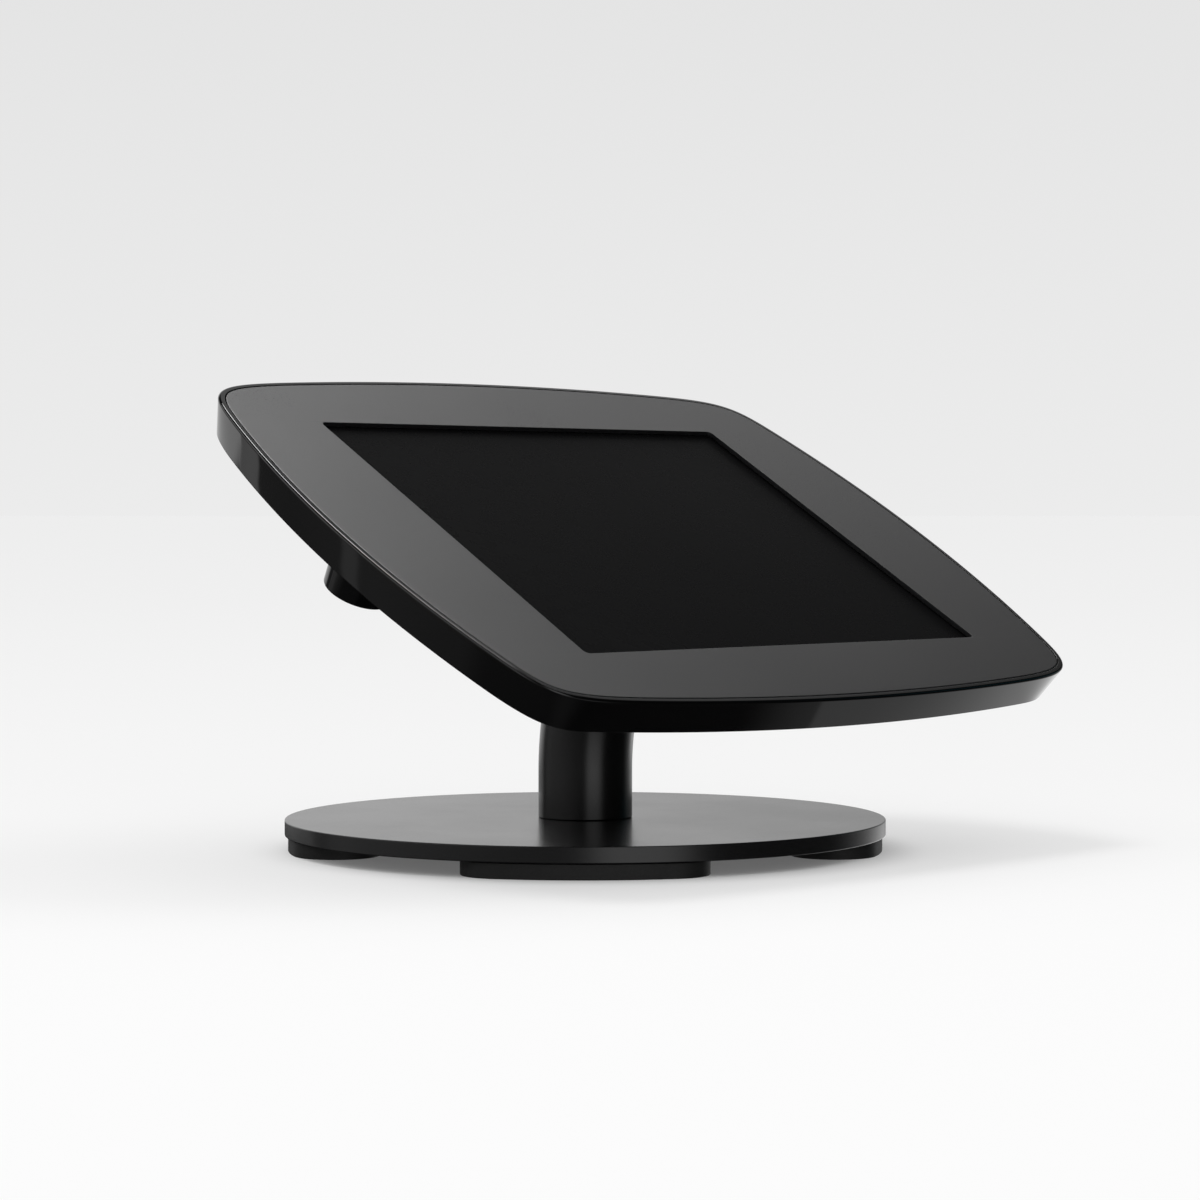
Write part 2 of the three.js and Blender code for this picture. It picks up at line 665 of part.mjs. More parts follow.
// ---------------------------------------------------------------- tablet
{
  const bx = TABLET_W / 2;
  const by = TABLET_H / 2;
  // L-shaped corner blocks with a pad under the tablet's corner.
  const g = 0.3;
  const leg = 16;
  const wall = 6;
  const block = prism(
    [
      [bx + g + wall - leg, by + g + wall - leg],
      [bx + g + wall, by + g + wall - leg],
      [bx + g + wall, by + g + wall],
      [bx + g + wall - leg, by + g + wall],
    ],
    SHELL_FLOOR + 0.3,
    TABLET_BACK - g,
  ).add(
    prism(
      [
        [bx + g, by + g + wall - leg],
        [bx + g + wall, by + g + wall - leg],
        [bx + g + wall, by + g + wall],
        [bx + g + wall - leg, by + g + wall],
        [bx + g + wall - leg, by + g],
        [bx + g, by + g],
      ],
      SHELL_FLOOR + 0.3,
      -3.4,
    ),
  );
  const names = ["top_right", "top_left", "bottom_left", "bottom_right"];
  [[1, 1], [-1, 1], [-1, -1], [1, -1]].forEach(([sx, sy], i) => {
    let b = block;
    if (sx < 0) b = b.mirror([1, 0, 0]);
    if (sy < 0) b = b.mirror([0, 1, 0]);
    place(head, "corner_bumper_" + names[i], b, FOAM);
  });

  const BUTTON_W = -6.4; // w of the buttons' middle
  const slotX = (cy) => prism([[-bx - 1, cy - 5.4], [-bx + 2, cy - 5.4], [-bx + 2, cy + 5.4], [-bx - 1, cy + 5.4]], BUTTON_W - 1.45, BUTTON_W + 1.45);
  const slotY = (cx) => prism([[cx - 5.4, by - 2], [cx + 5.4, by - 2], [cx + 5.4, by + 1], [cx - 5.4, by + 1]], BUTTON_W - 1.45, BUTTON_W + 1.45);
  const backShell = loft([
    lift(roundRect(TABLET_W - 2.4, TABLET_H - 2.4, TABLET_R - 1.2), TABLET_BACK),
    lift(roundRect(TABLET_W - 0.4, TABLET_H - 0.4, TABLET_R - 0.2), TABLET_BACK + 0.9),
    lift(roundRect(TABLET_W, TABLET_H, TABLET_R), TABLET_BACK + 2.0),
    lift(roundRect(TABLET_W, TABLET_H, TABLET_R), -3.3),
  ])
    .subtract(prism(roundRect(TABLET_W - 2.8, TABLET_H - 2.8, TABLET_R - 1.4), TABLET_BACK + 1.0, -3))
    .subtract(slotX(66))
    .subtract(slotY(-94))
    .subtract(slotY(-81));
  place(head, "tablet_back_shell", backShell, TABLET_GREY);
  place(head, "tablet_glass", prism(roundRect(TABLET_W - 0.8, TABLET_H - 0.8, TABLET_R - 0.4), GLASS_TOP - 0.85, GLASS_TOP), GLASS_BLACK);
  place(head, "tablet_display", prism(roundRect(214, 163, 1.5, 2), -5.1, GLASS_TOP - 0.85 - 0.3), PANEL_BLACK);
  place(head, "tablet_battery_left", prism(roundRect(84, 128, 3, 3, -56, -8), -8.3, -5.5), BATTERY);
  place(head, "tablet_battery_right", prism(roundRect(84, 128, 3, 3, 32, -8), -8.3, -5.5), BATTERY);
  const board = prism(roundRect(36, 150, 2, 2, 98, 0), -8.3, -7.5)
    .add(prism(roundRect(16, 16, 0.5, 1, 96, 38), -7.6, -6.4))
    .add(prism(roundRect(14, 14, 0.5, 1, 98, 12), -7.6, -6.5))
    .add(prism(roundRect(12, 18, 0.5, 1, 96, -18), -7.6, -6.6))
    .add(prism(roundRect(9, 3.2, 0.5, 1, 110, -62), -7.6, -5.8));
  place(head, "tablet_logic_board", board, BOARD);

  // Buttons: a rounded key that stands 0.5 proud of the tablet's edge.
  const key = (across) => {
    const g2 = new THREE.ExtrudeGeometry(
      new THREE.Shape(roundRect(10, 2.2, 1.05, 4).map(([x, y]) => new THREE.Vector2(x, y))),
      { depth: 1.7, bevelEnabled: false },
    );
    // along -X for the power key, along +Y for the volume keys
    g2.rotateX(-Math.PI / 2);
    if (across) g2.rotateZ(Math.PI / 2);
    return solid(g2);
  };
  place(head, "tablet_power_button", key(true), TABLET_GREY, -bx + 1.2, 66, BUTTON_W);
  place(head, "tablet_volume_up_button", key(false), TABLET_GREY, -94, by - 1.2, BUTTON_W);
  place(head, "tablet_volume_down_button", key(false), TABLET_GREY, -81, by - 1.2, BUTTON_W);
}

export default root;
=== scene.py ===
"""Looks of the counter-top tablet payment terminal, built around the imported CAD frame."""

import json
import math

import bmesh
import bpy
import numpy as np
from mathutils import Matrix, Vector
from mathutils.geometry import tessellate_polygon


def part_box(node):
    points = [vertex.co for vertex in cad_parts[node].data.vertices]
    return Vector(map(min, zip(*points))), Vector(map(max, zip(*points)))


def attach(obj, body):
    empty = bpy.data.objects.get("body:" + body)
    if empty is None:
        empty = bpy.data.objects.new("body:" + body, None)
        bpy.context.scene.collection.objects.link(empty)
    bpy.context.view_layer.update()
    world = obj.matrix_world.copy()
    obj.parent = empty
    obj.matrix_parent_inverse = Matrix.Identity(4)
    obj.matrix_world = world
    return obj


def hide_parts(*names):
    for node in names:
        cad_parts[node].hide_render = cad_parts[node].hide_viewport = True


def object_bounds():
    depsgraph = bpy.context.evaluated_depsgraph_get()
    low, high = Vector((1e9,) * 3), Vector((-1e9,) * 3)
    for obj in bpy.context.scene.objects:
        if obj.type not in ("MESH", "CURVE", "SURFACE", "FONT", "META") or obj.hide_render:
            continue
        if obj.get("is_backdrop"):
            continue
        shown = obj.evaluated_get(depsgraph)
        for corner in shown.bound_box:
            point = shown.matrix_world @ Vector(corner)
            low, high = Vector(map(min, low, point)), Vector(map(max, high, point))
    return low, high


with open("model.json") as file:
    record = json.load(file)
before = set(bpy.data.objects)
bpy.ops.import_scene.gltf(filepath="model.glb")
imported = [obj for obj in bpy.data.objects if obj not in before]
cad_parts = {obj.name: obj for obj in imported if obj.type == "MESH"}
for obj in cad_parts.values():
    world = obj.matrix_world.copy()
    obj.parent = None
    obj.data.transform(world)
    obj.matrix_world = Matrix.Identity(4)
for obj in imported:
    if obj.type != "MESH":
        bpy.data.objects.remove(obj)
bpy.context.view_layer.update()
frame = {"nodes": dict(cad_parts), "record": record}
BODY_OF = {n: b for b, ns in frame["record"]["behaviour"]["bodies"].items() for n in ns}
MM = 0.001

# ------------------------------------------------------------------ sizes, in millimetres, as in the CAD
ARM_Y = 10.41
FOOT_H, FOOT_RC, FOOT_HALF_W, FOOT_HALF_ARC = 6.0, 97.5, 16.2, 17.0
PLATE_R, PLATE_T, PLATE_HOLE_R = 115.0, 6.0, 6.2
PLATE_TOP = FOOT_H + PLATE_T
TUBE_R, TUBE_BORE_R, BEND_START, BEND_R, TILT = 18.0, 15.0, 18.4, 105.0, 30.386
HEAD_REACH = 44.1
BASE_SCREW_RC, M4_R, M4_HOLE_R = 11.4, 2.0, 2.25
FACE_T, GROOVE, RIM, RIM_R, LEDGE = 1.8, 0.2, 2.53, 0.85, -2.1
SHELL_BACK, SHELL_FLOOR = -14.66, -12.16
APERTURE_W, APERTURE_H, APERTURE_R = 210.3, 160.0, 2.2
TOP = dict(w=152.991, h=112.951, r1=362.316, r2=1108.64, ya=80.864, xb=95.091, h1=21.682, h2=41.146)
BACK = dict(w=151.993, h=112.132, r1=356.5, r2=1040.0, ya=76.131, xb=111.319, h1=28.754, h2=19.141)
BOSS_R, BOSS_BACK, BOSS_POCKET_R, BOSS_FLOOR = 46.0, -20.66, 43.0, -18.16
SWIVEL_HOLE_R, CABLE_BORE_R, HUB_SCREW_RC = 22.0, 10.5, 16.0
FLANGE_R, FLANGE_TOP, FLANGE_T, RETAINER_R = 38.0, -22.3, 4.0, 32.0
LOCK_U, LOCK_BOSS_R, LOCK_BOSS_END, LOCK_BORE_R = -137.5, 12.3, -23.8, 9.3
TABLET_W, TABLET_H, TABLET_R = 250.6, 174.1, 11.0
GLASS_TOP, TABLET_BACK = -2.15, -9.65

_t = math.radians(TILT)
HEAD_Y = ARM_Y - BEND_R * (1 - math.cos(_t)) - HEAD_REACH * math.sin(_t)
HEAD_Z = PLATE_TOP + BEND_START + BEND_R * math.sin(_t) + HEAD_REACH * math.cos(_t)
HEAD = Matrix.Translation((0, HEAD_Y, HEAD_Z)) @ Matrix.Rotation(_t, 4, "X")
BASE = Matrix.Translation((0, ARM_Y, 0))


def at(matrix, x=0.0, y=0.0, z=0.0, turn=0.0):
    return matrix @ Matrix.Translation((x, y, z)) @ Matrix.Rotation(math.radians(turn), 4, "Z")


# ------------------------------------------------------------------ mesh building
def outline(p, off, n_side=20, n_corner=26, n_top=24):
    """The enclosure's outline moved outwards by off, counter-clockwise."""
    quad = []

    def add(x, y, nx, ny):
        quad.append((x + nx * off, y + ny * off))

    for i in range(n_side + 1):
        y = p["ya"] * i / n_side
        x = p["w"] - (p["r1"] - math.sqrt(p["r1"] ** 2 - y * y))
        add(x, y, (x - (p["w"] - p["r1"])) / p["r1"], y / p["r1"])
    xa = p["w"] - (p["r1"] - math.sqrt(p["r1"] ** 2 - p["ya"] ** 2))
    yb = p["h"] - (p["r2"] - math.sqrt(p["r2"] ** 2 - p["xb"] ** 2))
    t1 = Vector((-p["ya"] / math.sqrt(p["r1"] ** 2 - p["ya"] ** 2), 1)).normalized()
    t2 = Vector((-1, p["xb"] / math.sqrt(p["r2"] ** 2 - p["xb"] ** 2))).normalized()
    a, d = Vector((xa, p["ya"])), Vector((p["xb"], yb))
    b, c = a + t1 * p["h1"], d - t2 * p["h2"]
    for i in range(1, n_corner):
        t = i / n_corner
        q = a * (1 - t) ** 3 + b * 3 * t * (1 - t) ** 2 + c * 3 * t * t * (1 - t) + d * t**3
        g = ((b - a) * (1 - t) ** 2 + (c - b) * 2 * t * (1 - t) + (d - c) * t * t).normalized()
        add(q.x, q.y, g.y, -g.x)
    for i in range(n_top, -1, -1):
        x = p["xb"] * i / n_top
        y = p["h"] - (p["r2"] - math.sqrt(p["r2"] ** 2 - x * x))
        add(x, y, x / p["r2"], (y - (p["h"] - p["r2"])) / p["r2"])
    last = len(quad) - 1
    ring = list(quad)
    ring += [(-quad[i][0], quad[i][1]) for i in range(last - 1, -1, -1)]
    ring += [(-quad[i][0], -quad[i][1]) for i in range(1, last + 1)]
    ring += [(quad[i][0], -quad[i][1]) for i in range(last - 1, 0, -1)]
    return ring


def lift(ring, z):
    return [(x, y, z) for x, y in ring]


def round_rect(w, h, r, n=10, cx=0.0, cy=0.0):
    out = []
    for sx, sy, a0 in ((1, -1, -90), (1, 1, 0), (-1, 1, 90), (-1, -1, 180)):
        for i in range(n + 1):
            a = math.radians(a0 + 90 * i / n)
            out.append((cx + sx * (w / 2 - r) + r * math.cos(a), cy + sy * (h / 2 - r) + r * math.sin(a)))
    return out


def circle(r, n, cx=0.0, cy=0.0, z=None):
    pts = [(cx + r * math.cos(2 * math.pi * i / n), cy + r * math.sin(2 * math.pi * i / n)) for i in range(n)]
    return pts if z is None else lift(pts, z)


def sector(r0, r1, a0, a1, n):
    step = [math.radians(a0 + (a1 - a0) * i / n) for i in range(n + 1)]
    return [(r1 * math.cos(a), r1 * math.sin(a)) for a in step] + [
        (r0 * math.cos(a), r0 * math.sin(a)) for a in reversed(step)
    ]


def softened(profile, radii, n=5, closed=False):
    """A polyline of (r, z) points with its corners rounded: radii maps a point's index to its radius."""
    out, count = [], len(profile)
    for i, p in enumerate(profile):
        r = radii.get(i, 0) if isinstance(radii, dict) else radii
        if r <= 0 or (not closed and i in (0, count - 1)):
            out.append(tuple(p))
            continue
        q = Vector(p)
        a, b = Vector(profile[i - 1]) - q, Vector(profile[(i + 1) % count]) - q
        la, lb = a.length, b.length
        a.normalize(), b.normalize()
        half = math.acos(max(-1.0, min(1.0, a.dot(b)))) / 2
        if half > math.pi / 2 - 0.03:
            out.append(tuple(p))
            continue
        t = min(r / math.tan(half), 0.49 * la, 0.49 * lb)
        rr = t * math.tan(half)
        centre = q + (a + b).normalized() * (rr / math.sin(half))
        v0, v1 = q + a * t - centre, q + b * t - centre
        ang = math.atan2(v0.x * v1.y - v0.y * v1.x, v0.dot(v1))
        for k in range(n + 1):
            f = ang * k / n
            out.append(
                (
                    centre.x + v0.x * math.cos(f) - v0.y * math.sin(f),
                    centre.y + v0.x * math.sin(f) + v0.y * math.cos(f),
                )
            )
    return out


class Build:
    """Vertices and faces in millimetres, made into one closed mesh object in the row frame."""

    def __init__(self):
        self.v, self.f = [], []

    def ring(self, points):
        start = len(self.v)
        self.v += [tuple(p) for p in points]
        return list(range(start, len(self.v)))

    def strip(self, a, b):
        n = len(a)
        for i in range(n):
            j = (i + 1) % n
            self.f.append((a[i], a[j], b[j], b[i]))

    def rings(self, rows, close=False):
        idx = [self.ring(r) for r in rows]
        for a, b in zip(idx, idx[1:]):
            self.strip(a, b)
        if close:
            self.strip(idx[-1], idx[0])
        return idx

    def fill(self, *loops):
        flat = [i for loop in loops for i in loop]
        points = [[Vector((self.v[i][0], self.v[i][1], 0)) for i in loop] for loop in loops]
        for t in tessellate_polygon(points):
            self.f.append(tuple(flat[i] for i in t))

    def face(self, loop):
        self.f.append(tuple(loop))

    def cone(self, loop, point):
        c = self.ring([point])[0]
        for i in range(len(loop)):
            self.f.append((loop[i], loop[(i + 1) % len(loop)], c))

    def lathe(self, profile, n, cx=0.0, cy=0.0, closed=True):
        """Turned rows; a closed profile off the axis makes a ring, one that starts and ends on it makes a solid."""
        on_axis = abs(profile[0][0]) < 1e-9
        rows = profile[1:-1] if on_axis else profile
        idx = self.rings([circle(r, n, cx, cy, z) for r, z in rows], close=closed and not on_axis)
        if on_axis:
            self.cone(idx[0], (cx, cy, profile[0][1]))
            self.cone(idx[-1], (cx, cy, profile[-1][1]))
        return idx

    def make(self, name, matrix):
        me = bpy.data.meshes.new(name)
        me.from_pydata(self.v, [], self.f)
        bm = bmesh.new()
        bm.from_mesh(me)
        bmesh.ops.remove_doubles(bm, verts=bm.verts, dist=2e-4)
        bmesh.ops.dissolve_degenerate(bm, dist=1e-5, edges=bm.edges)
        bmesh.ops.recalc_face_normals(bm, faces=bm.faces)
        if bm.calc_volume(signed=True) < 0:
            bmesh.ops.reverse_faces(bm, faces=bm.faces)
        bad = sum(1 for e in bm.edges if len(e.link_faces) != 2)
        if bad:
            print("OPEN EDGES", name, bad)
        bmesh.ops.transform(bm, matrix=Matrix.Scale(MM, 4) @ matrix, verts=bm.verts)
        bm.to_mesh(me)
        bm.free()
        o = bpy.data.objects.new(name, me)
        bpy.context.scene.collection.objects.link(o)
        return o


def settle(o):
    """Applies an object's modifiers to its mesh."""
    bpy.context.view_layer.update()
    dg = bpy.context.evaluated_depsgraph_get()
    me = bpy.data.meshes.new_from_object(o.evaluated_get(dg), preserve_all_data_layers=True, depsgraph=dg)
    o.modifiers.clear()
    old = o.data
    o.data = me
    if old.users == 0:
        bpy.data.meshes.remove(old)
    return o


def combine(o, other, operation):
    m = o.modifiers.new("combine", "BOOLEAN")
    m.operation, m.solver, m.object = operation, "EXACT", other
    settle(o)
    bpy.data.objects.remove(other)
    bm = bmesh.new()
    bm.from_mesh(o.data)
    bmesh.ops.remove_doubles(bm, verts=bm.verts, dist=2e-7)
    bad = sum(1 for e in bm.edges if len(e.link_faces) != 2)
    if bad:
        print("OPEN EDGES after", operation, o.name, bad)
    bm.to_mesh(o.data)
    bm.free()
    return o


def cut(o, other):
    return combine(o, other, "DIFFERENCE")


def fuse(o, other):
    return combine(o, other, "UNION")


def smooth(o, angle=33.0):
    """Smooth shading, sharp over angle, with the normals of the flat faces kept flat."""
    me = o.data
    me.polygons.foreach_set("use_smooth", [True] * len(me.polygons))
    me.set_sharp_from_angle(angle=math.radians(angle))
    m = o.modifiers.new("normals", "WEIGHTED_NORMAL")
    m.mode, m.weight, m.keep_sharp = "FACE_AREA", 50, True
    settle(o)
    return o


def bevelled(o, width, segments=3, angle=30.0):
    m = o.modifiers.new("edge", "BEVEL")
    m.width, m.segments, m.limit_method, m.angle_limit = width * MM, segments, "ANGLE", math.radians(angle)
    m.use_clamp_overlap, m.miter_outer = True, "MITER_ARC"
    settle(o)
    return o


def prism(name, matrix, points, z0, z1, holes=()):
    b = Build()
    loops0 = [b.ring(lift(points, z0))] + [b.ring(lift(h, z0)) for h in holes]
    loops1 = [b.ring(lift(points, z1))] + [b.ring(lift(h, z1)) for h in holes]
    for a, c in zip(loops0, loops1):
        b.strip(a, c)
    b.fill(*loops0)
    b.fill(*loops1)
    return b.make(name, matrix)


def turned(name, matrix, profile, n=64):
    b = Build()
    b.lathe(profile, n)
    return b.make(name, matrix)


def from_cad(node, name=None):
    """A copy of a CAD node's solid with its flat faces merged, to be finished as a new piece."""
    src = frame["nodes"][node].data
    me = src.copy()
    me.materials.clear()
    bm = bmesh.new()
    bm.from_mesh(me)
    bmesh.ops.remove_doubles(bm, verts=bm.verts, dist=2e-6)
    bmesh.ops.dissolve_limit(bm, angle_limit=math.radians(1.0), verts=bm.verts, edges=bm.edges)
    bm.to_mesh(me)
    bm.free()
    if "custom_normal" in me.attributes:
        me.attributes.remove(me.attributes["custom_normal"])
    o = bpy.data.objects.new(name or node + "_finished", me)
    bpy.context.scene.collection.objects.link(o)
    return o


MADE = {}


def stand_for(o, node, material):
    """o takes the place of a CAD node: its body and its material."""
    if not o.data.materials:
        o.data.materials.append(material)
    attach(o, BODY_OF[node])
    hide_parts(node)
    MADE[node] = o
    return o


# ------------------------------------------------------------------ materials
class Shade:
    """A material built from nodes, with short calls."""

    def __init__(self, name):
        self.m = bpy.data.materials.new(name)
        self.m.use_nodes = True
        self.t = self.m.node_tree
        self.t.nodes.clear()
        self.out = self.t.nodes.new("ShaderNodeOutputMaterial")
        self.b = self.t.nodes.new("ShaderNodeBsdfPrincipled")
        self.t.links.new(self.b.outputs[0], self.out.inputs[0])
        self.co = self.t.nodes.new("ShaderNodeTexCoord").outputs["Object"]

    def set(self, **values):
        for k, v in values.items():
            key = k.replace("_", " ")
            self.b.inputs[key].default_value = (*v, 1.0) if isinstance(v, tuple) and len(v) == 3 else v
        return self

    def link(self, a, b):
        self.t.links.new(a, b)

    def noise(self, scale, detail=2.0, rough=0.5, stretch=None, kind="FBM", distortion=0.0):
        n = self.t.nodes.new("ShaderNodeTexNoise")
        n.noise_type = kind
        n.inputs["Scale"].default_value = scale
        n.inputs["Detail"].default_value = detail
        n.inputs["Roughness"].default_value = rough
        n.inputs["Distortion"].default_value = distortion
        src = self.co
        if stretch:
            mp = self.t.nodes.new("ShaderNodeMapping")
            mp.inputs["Scale"].default_value = stretch
            self.link(src, mp.inputs[0])
            src = mp.outputs[0]
        self.link(src, n.inputs["Vector"])
        return n.outputs["Fac"]

    def cells(self, scale, feature="F1"):
        n = self.t.nodes.new("ShaderNodeTexVoronoi")
        n.feature = feature
        n.inputs["Scale"].default_value = scale
        self.link(self.co, n.inputs["Vector"])
        return n.outputs["Distance"]

    def spread(self, x, lo, hi, a=0.3, b=0.7):
        n = self.t.nodes.new("ShaderNodeMapRange")
        n.inputs["From Min"].default_value, n.inputs["From Max"].default_value = a, b
        n.inputs["To Min"].default_value, n.inputs["To Max"].default_value = lo, hi
        self.link(x, n.inputs["Value"])
        return n.outputs["Result"]

    def math(self, op, a, b):
        n = self.t.nodes.new("ShaderNodeMath")
        n.operation = op
        for i, v in enumerate((a, b)):
            if isinstance(v, (int, float)):
                n.inputs[i].default_value = v
            else:
                self.link(v, n.inputs[i])
        return n.outputs[0]

    def colours(self, x, first, second, a=0.3, b=0.7):
        n = self.t.nodes.new("ShaderNodeValToRGB")
        n.color_ramp.elements[0].position, n.color_ramp.elements[1].position = a, b
        n.color_ramp.elements[0].color = (*first, 1)
        n.color_ramp.elements[1].color = (*second, 1)
        self.link(x, n.inputs[0])
        return n.outputs[0]

    def base(self, socket):
        self.link(socket, self.b.inputs["Base Color"])
        return self

    def rough(self, socket):
        self.link(socket, self.b.inputs["Roughness"])
        return self

    def bump(self, height, distance, strength=1.0):
        n = self.t.nodes.new("ShaderNodeBump")
        n.inputs["Strength"].default_value = strength
        n.inputs["Distance"].default_value = distance
        self.link(height, n.inputs["Height"])
        self.link(n.outputs[0], self.b.inputs["Normal"])
        return self


def gloss_black():
    s = Shade("gloss_black_moulding").set(IOR=1.5)
    s.base(s.colours(s.noise(35, 3), (0.0005, 0.0005, 0.0006), (0.0009, 0.0009, 0.0010)))
    s.rough(s.spread(s.noise(60, 4, 0.6), 0.02, 0.05))
    s.bump(s.noise(55, 1.5), 0.00002, 0.35)
    return s.m


def satin_panel():
    s = Shade("satin_black_panel").set(IOR=1.5)
    grain = s.noise(2600, 2, 0.6)
    s.base(s.colours(grain, (0.0045, 0.0045, 0.0048), (0.0085, 0.0085, 0.009)))
    s.rough(s.math("ADD", s.spread(grain, -0.02, 0.03), s.spread(s.noise(12, 3), 0.285, 0.315)))
    s.bump(grain, 0.000012, 0.5)
    return s.m


def powder_coat():
    s = Shade("satin_powder_coat").set(IOR=1.5)
    peel = s.noise(900, 3, 0.55)
    fine = s.noise(3200, 2, 0.6)
    s.base(s.colours(fine, (0.0032, 0.0032, 0.0034), (0.0065, 0.0065, 0.0068)))
    s.rough(s.math("ADD", s.spread(fine, -0.015, 0.025), s.spread(s.noise(20, 3), 0.215, 0.245)))
    s.bump(s.math("ADD", s.math("MULTIPLY", peel, 0.6), s.math("MULTIPLY", fine, 0.4)), 0.000014, 0.5)
    return s.m


def rubber():
    s = Shade("moulded_rubber").set(IOR=1.45)
    fine = s.noise(1800, 4, 0.7)
    s.base(s.colours(s.noise(90, 4), (0.0035, 0.0035, 0.0036), (0.0075, 0.0075, 0.0075)))
    s.rough(s.spread(fine, 0.5, 0.72))
    s.bump(fine, 0.00004, 0.5)
    return s.m


def foam():
    s = Shade("bumper_elastomer").set(IOR=1.42)
    s.base(s.colours(s.noise(300, 5, 0.7), (0.012, 0.012, 0.013), (0.03, 0.03, 0.032)))
    s.rough(s.spread(s.noise(900, 3), 0.75, 0.95))
    s.bump(s.cells(1500), 0.0001, 0.6)
    return s.m


def steel(name="zinc_plated_steel", tint=(0.60, 0.60, 0.585), low=0.2, high=0.38, grain=(1, 1, 12)):
    s = Shade(name).set(Metallic=1.0)
    drawn = s.noise(420, 4, 0.6, stretch=grain)
    s.base(s.colours(s.noise(55, 4), tuple(0.86 * c for c in tint), tint))
    s.rough(s.spread(drawn, low, high))
    s.bump(drawn, 0.00002, 0.35)
    return s.m


def acetal():
    s = Shade("natural_acetal").set(IOR=1.48, Subsurface_Weight=0.12, Subsurface_Scale=0.002)
    s.base(s.colours(s.noise(70, 3), (0.72, 0.70, 0.65), (0.80, 0.79, 0.74)))
    s.rough(s.spread(s.noise(500, 3), 0.36, 0.5))
    s.bump(s.noise(1500, 2), 0.00002, 0.4)
    return s.m


def glass():
    s = Shade("screen_cover_glass").set(IOR=1.045)
    s.base(s.colours(s.noise(9, 2), (0.0038, 0.0038, 0.0040), (0.0045, 0.0045, 0.0047)))
    s.rough(s.spread(s.noise(140, 4, 0.6), 0.25, 0.31))
    return s.m


def display():
    s = Shade("display_stack").set(IOR=1.5)
    s.base(s.colours(s.noise(30, 3), (0.003, 0.003, 0.004), (0.006, 0.006, 0.008)))
    s.rough(s.spread(s.noise(200, 3), 0.2, 0.32))
    return s.m


def aluminium():
    s = Shade("blasted_aluminium").set(Metallic=1.0)
    blast = s.noise(2400, 3, 0.7)
    s.base(s.colours(s.noise(25, 3), (0.36, 0.37, 0.385), (0.42, 0.43, 0.44)))
    s.rough(s.spread(blast, 0.3, 0.46))
    s.bump(blast, 0.000012, 0.5)
    return s.m


def battery():
    s = Shade("battery_pouch").set(IOR=1.5)
    wrinkle = s.noise(120, 4, 0.6, distortion=0.6)
    s.base(s.colours(wrinkle, (0.012, 0.012, 0.013), (0.03, 0.03, 0.032)))
    s.rough(s.spread(wrinkle, 0.28, 0.5))
    s.bump(wrinkle, 0.00015, 0.5)
    return s.m


def board():
    s = Shade("circuit_board").set(IOR=1.5)
    s.base(s.colours(s.cells(420, "DISTANCE_TO_EDGE"), (0.012, 0.10, 0.055), (0.006, 0.045, 0.026), 0.02, 0.09))
    s.rough(s.spread(s.noise(300, 3), 0.3, 0.45))
    s.bump(s.cells(420, "DISTANCE_TO_EDGE"), 0.00004, 0.4)
    return s.m


def chip():
    s = Shade("moulded_chip").set(IOR=1.5)
    s.base(s.colours(s.noise(600, 3), (0.008, 0.008, 0.009), (0.016, 0.016, 0.017)))
    s.rough(s.spread(s.noise(1500, 3), 0.45, 0.65))
    return s.m


GLOSS, PANEL, COAT, RUBBER, FOAM = gloss_black(), satin_panel(), powder_coat(), rubber(), foam()
STEEL, CHROME = steel(), steel("lock_chrome", (0.66, 0.66, 0.67), 0.08, 0.2, (1, 1, 4))
ACETAL, GLASS, DISPLAY, ALU, BATTERY, BOARD, CHIP = acetal(), glass(), display(), aluminium(), battery(), board(), chip()


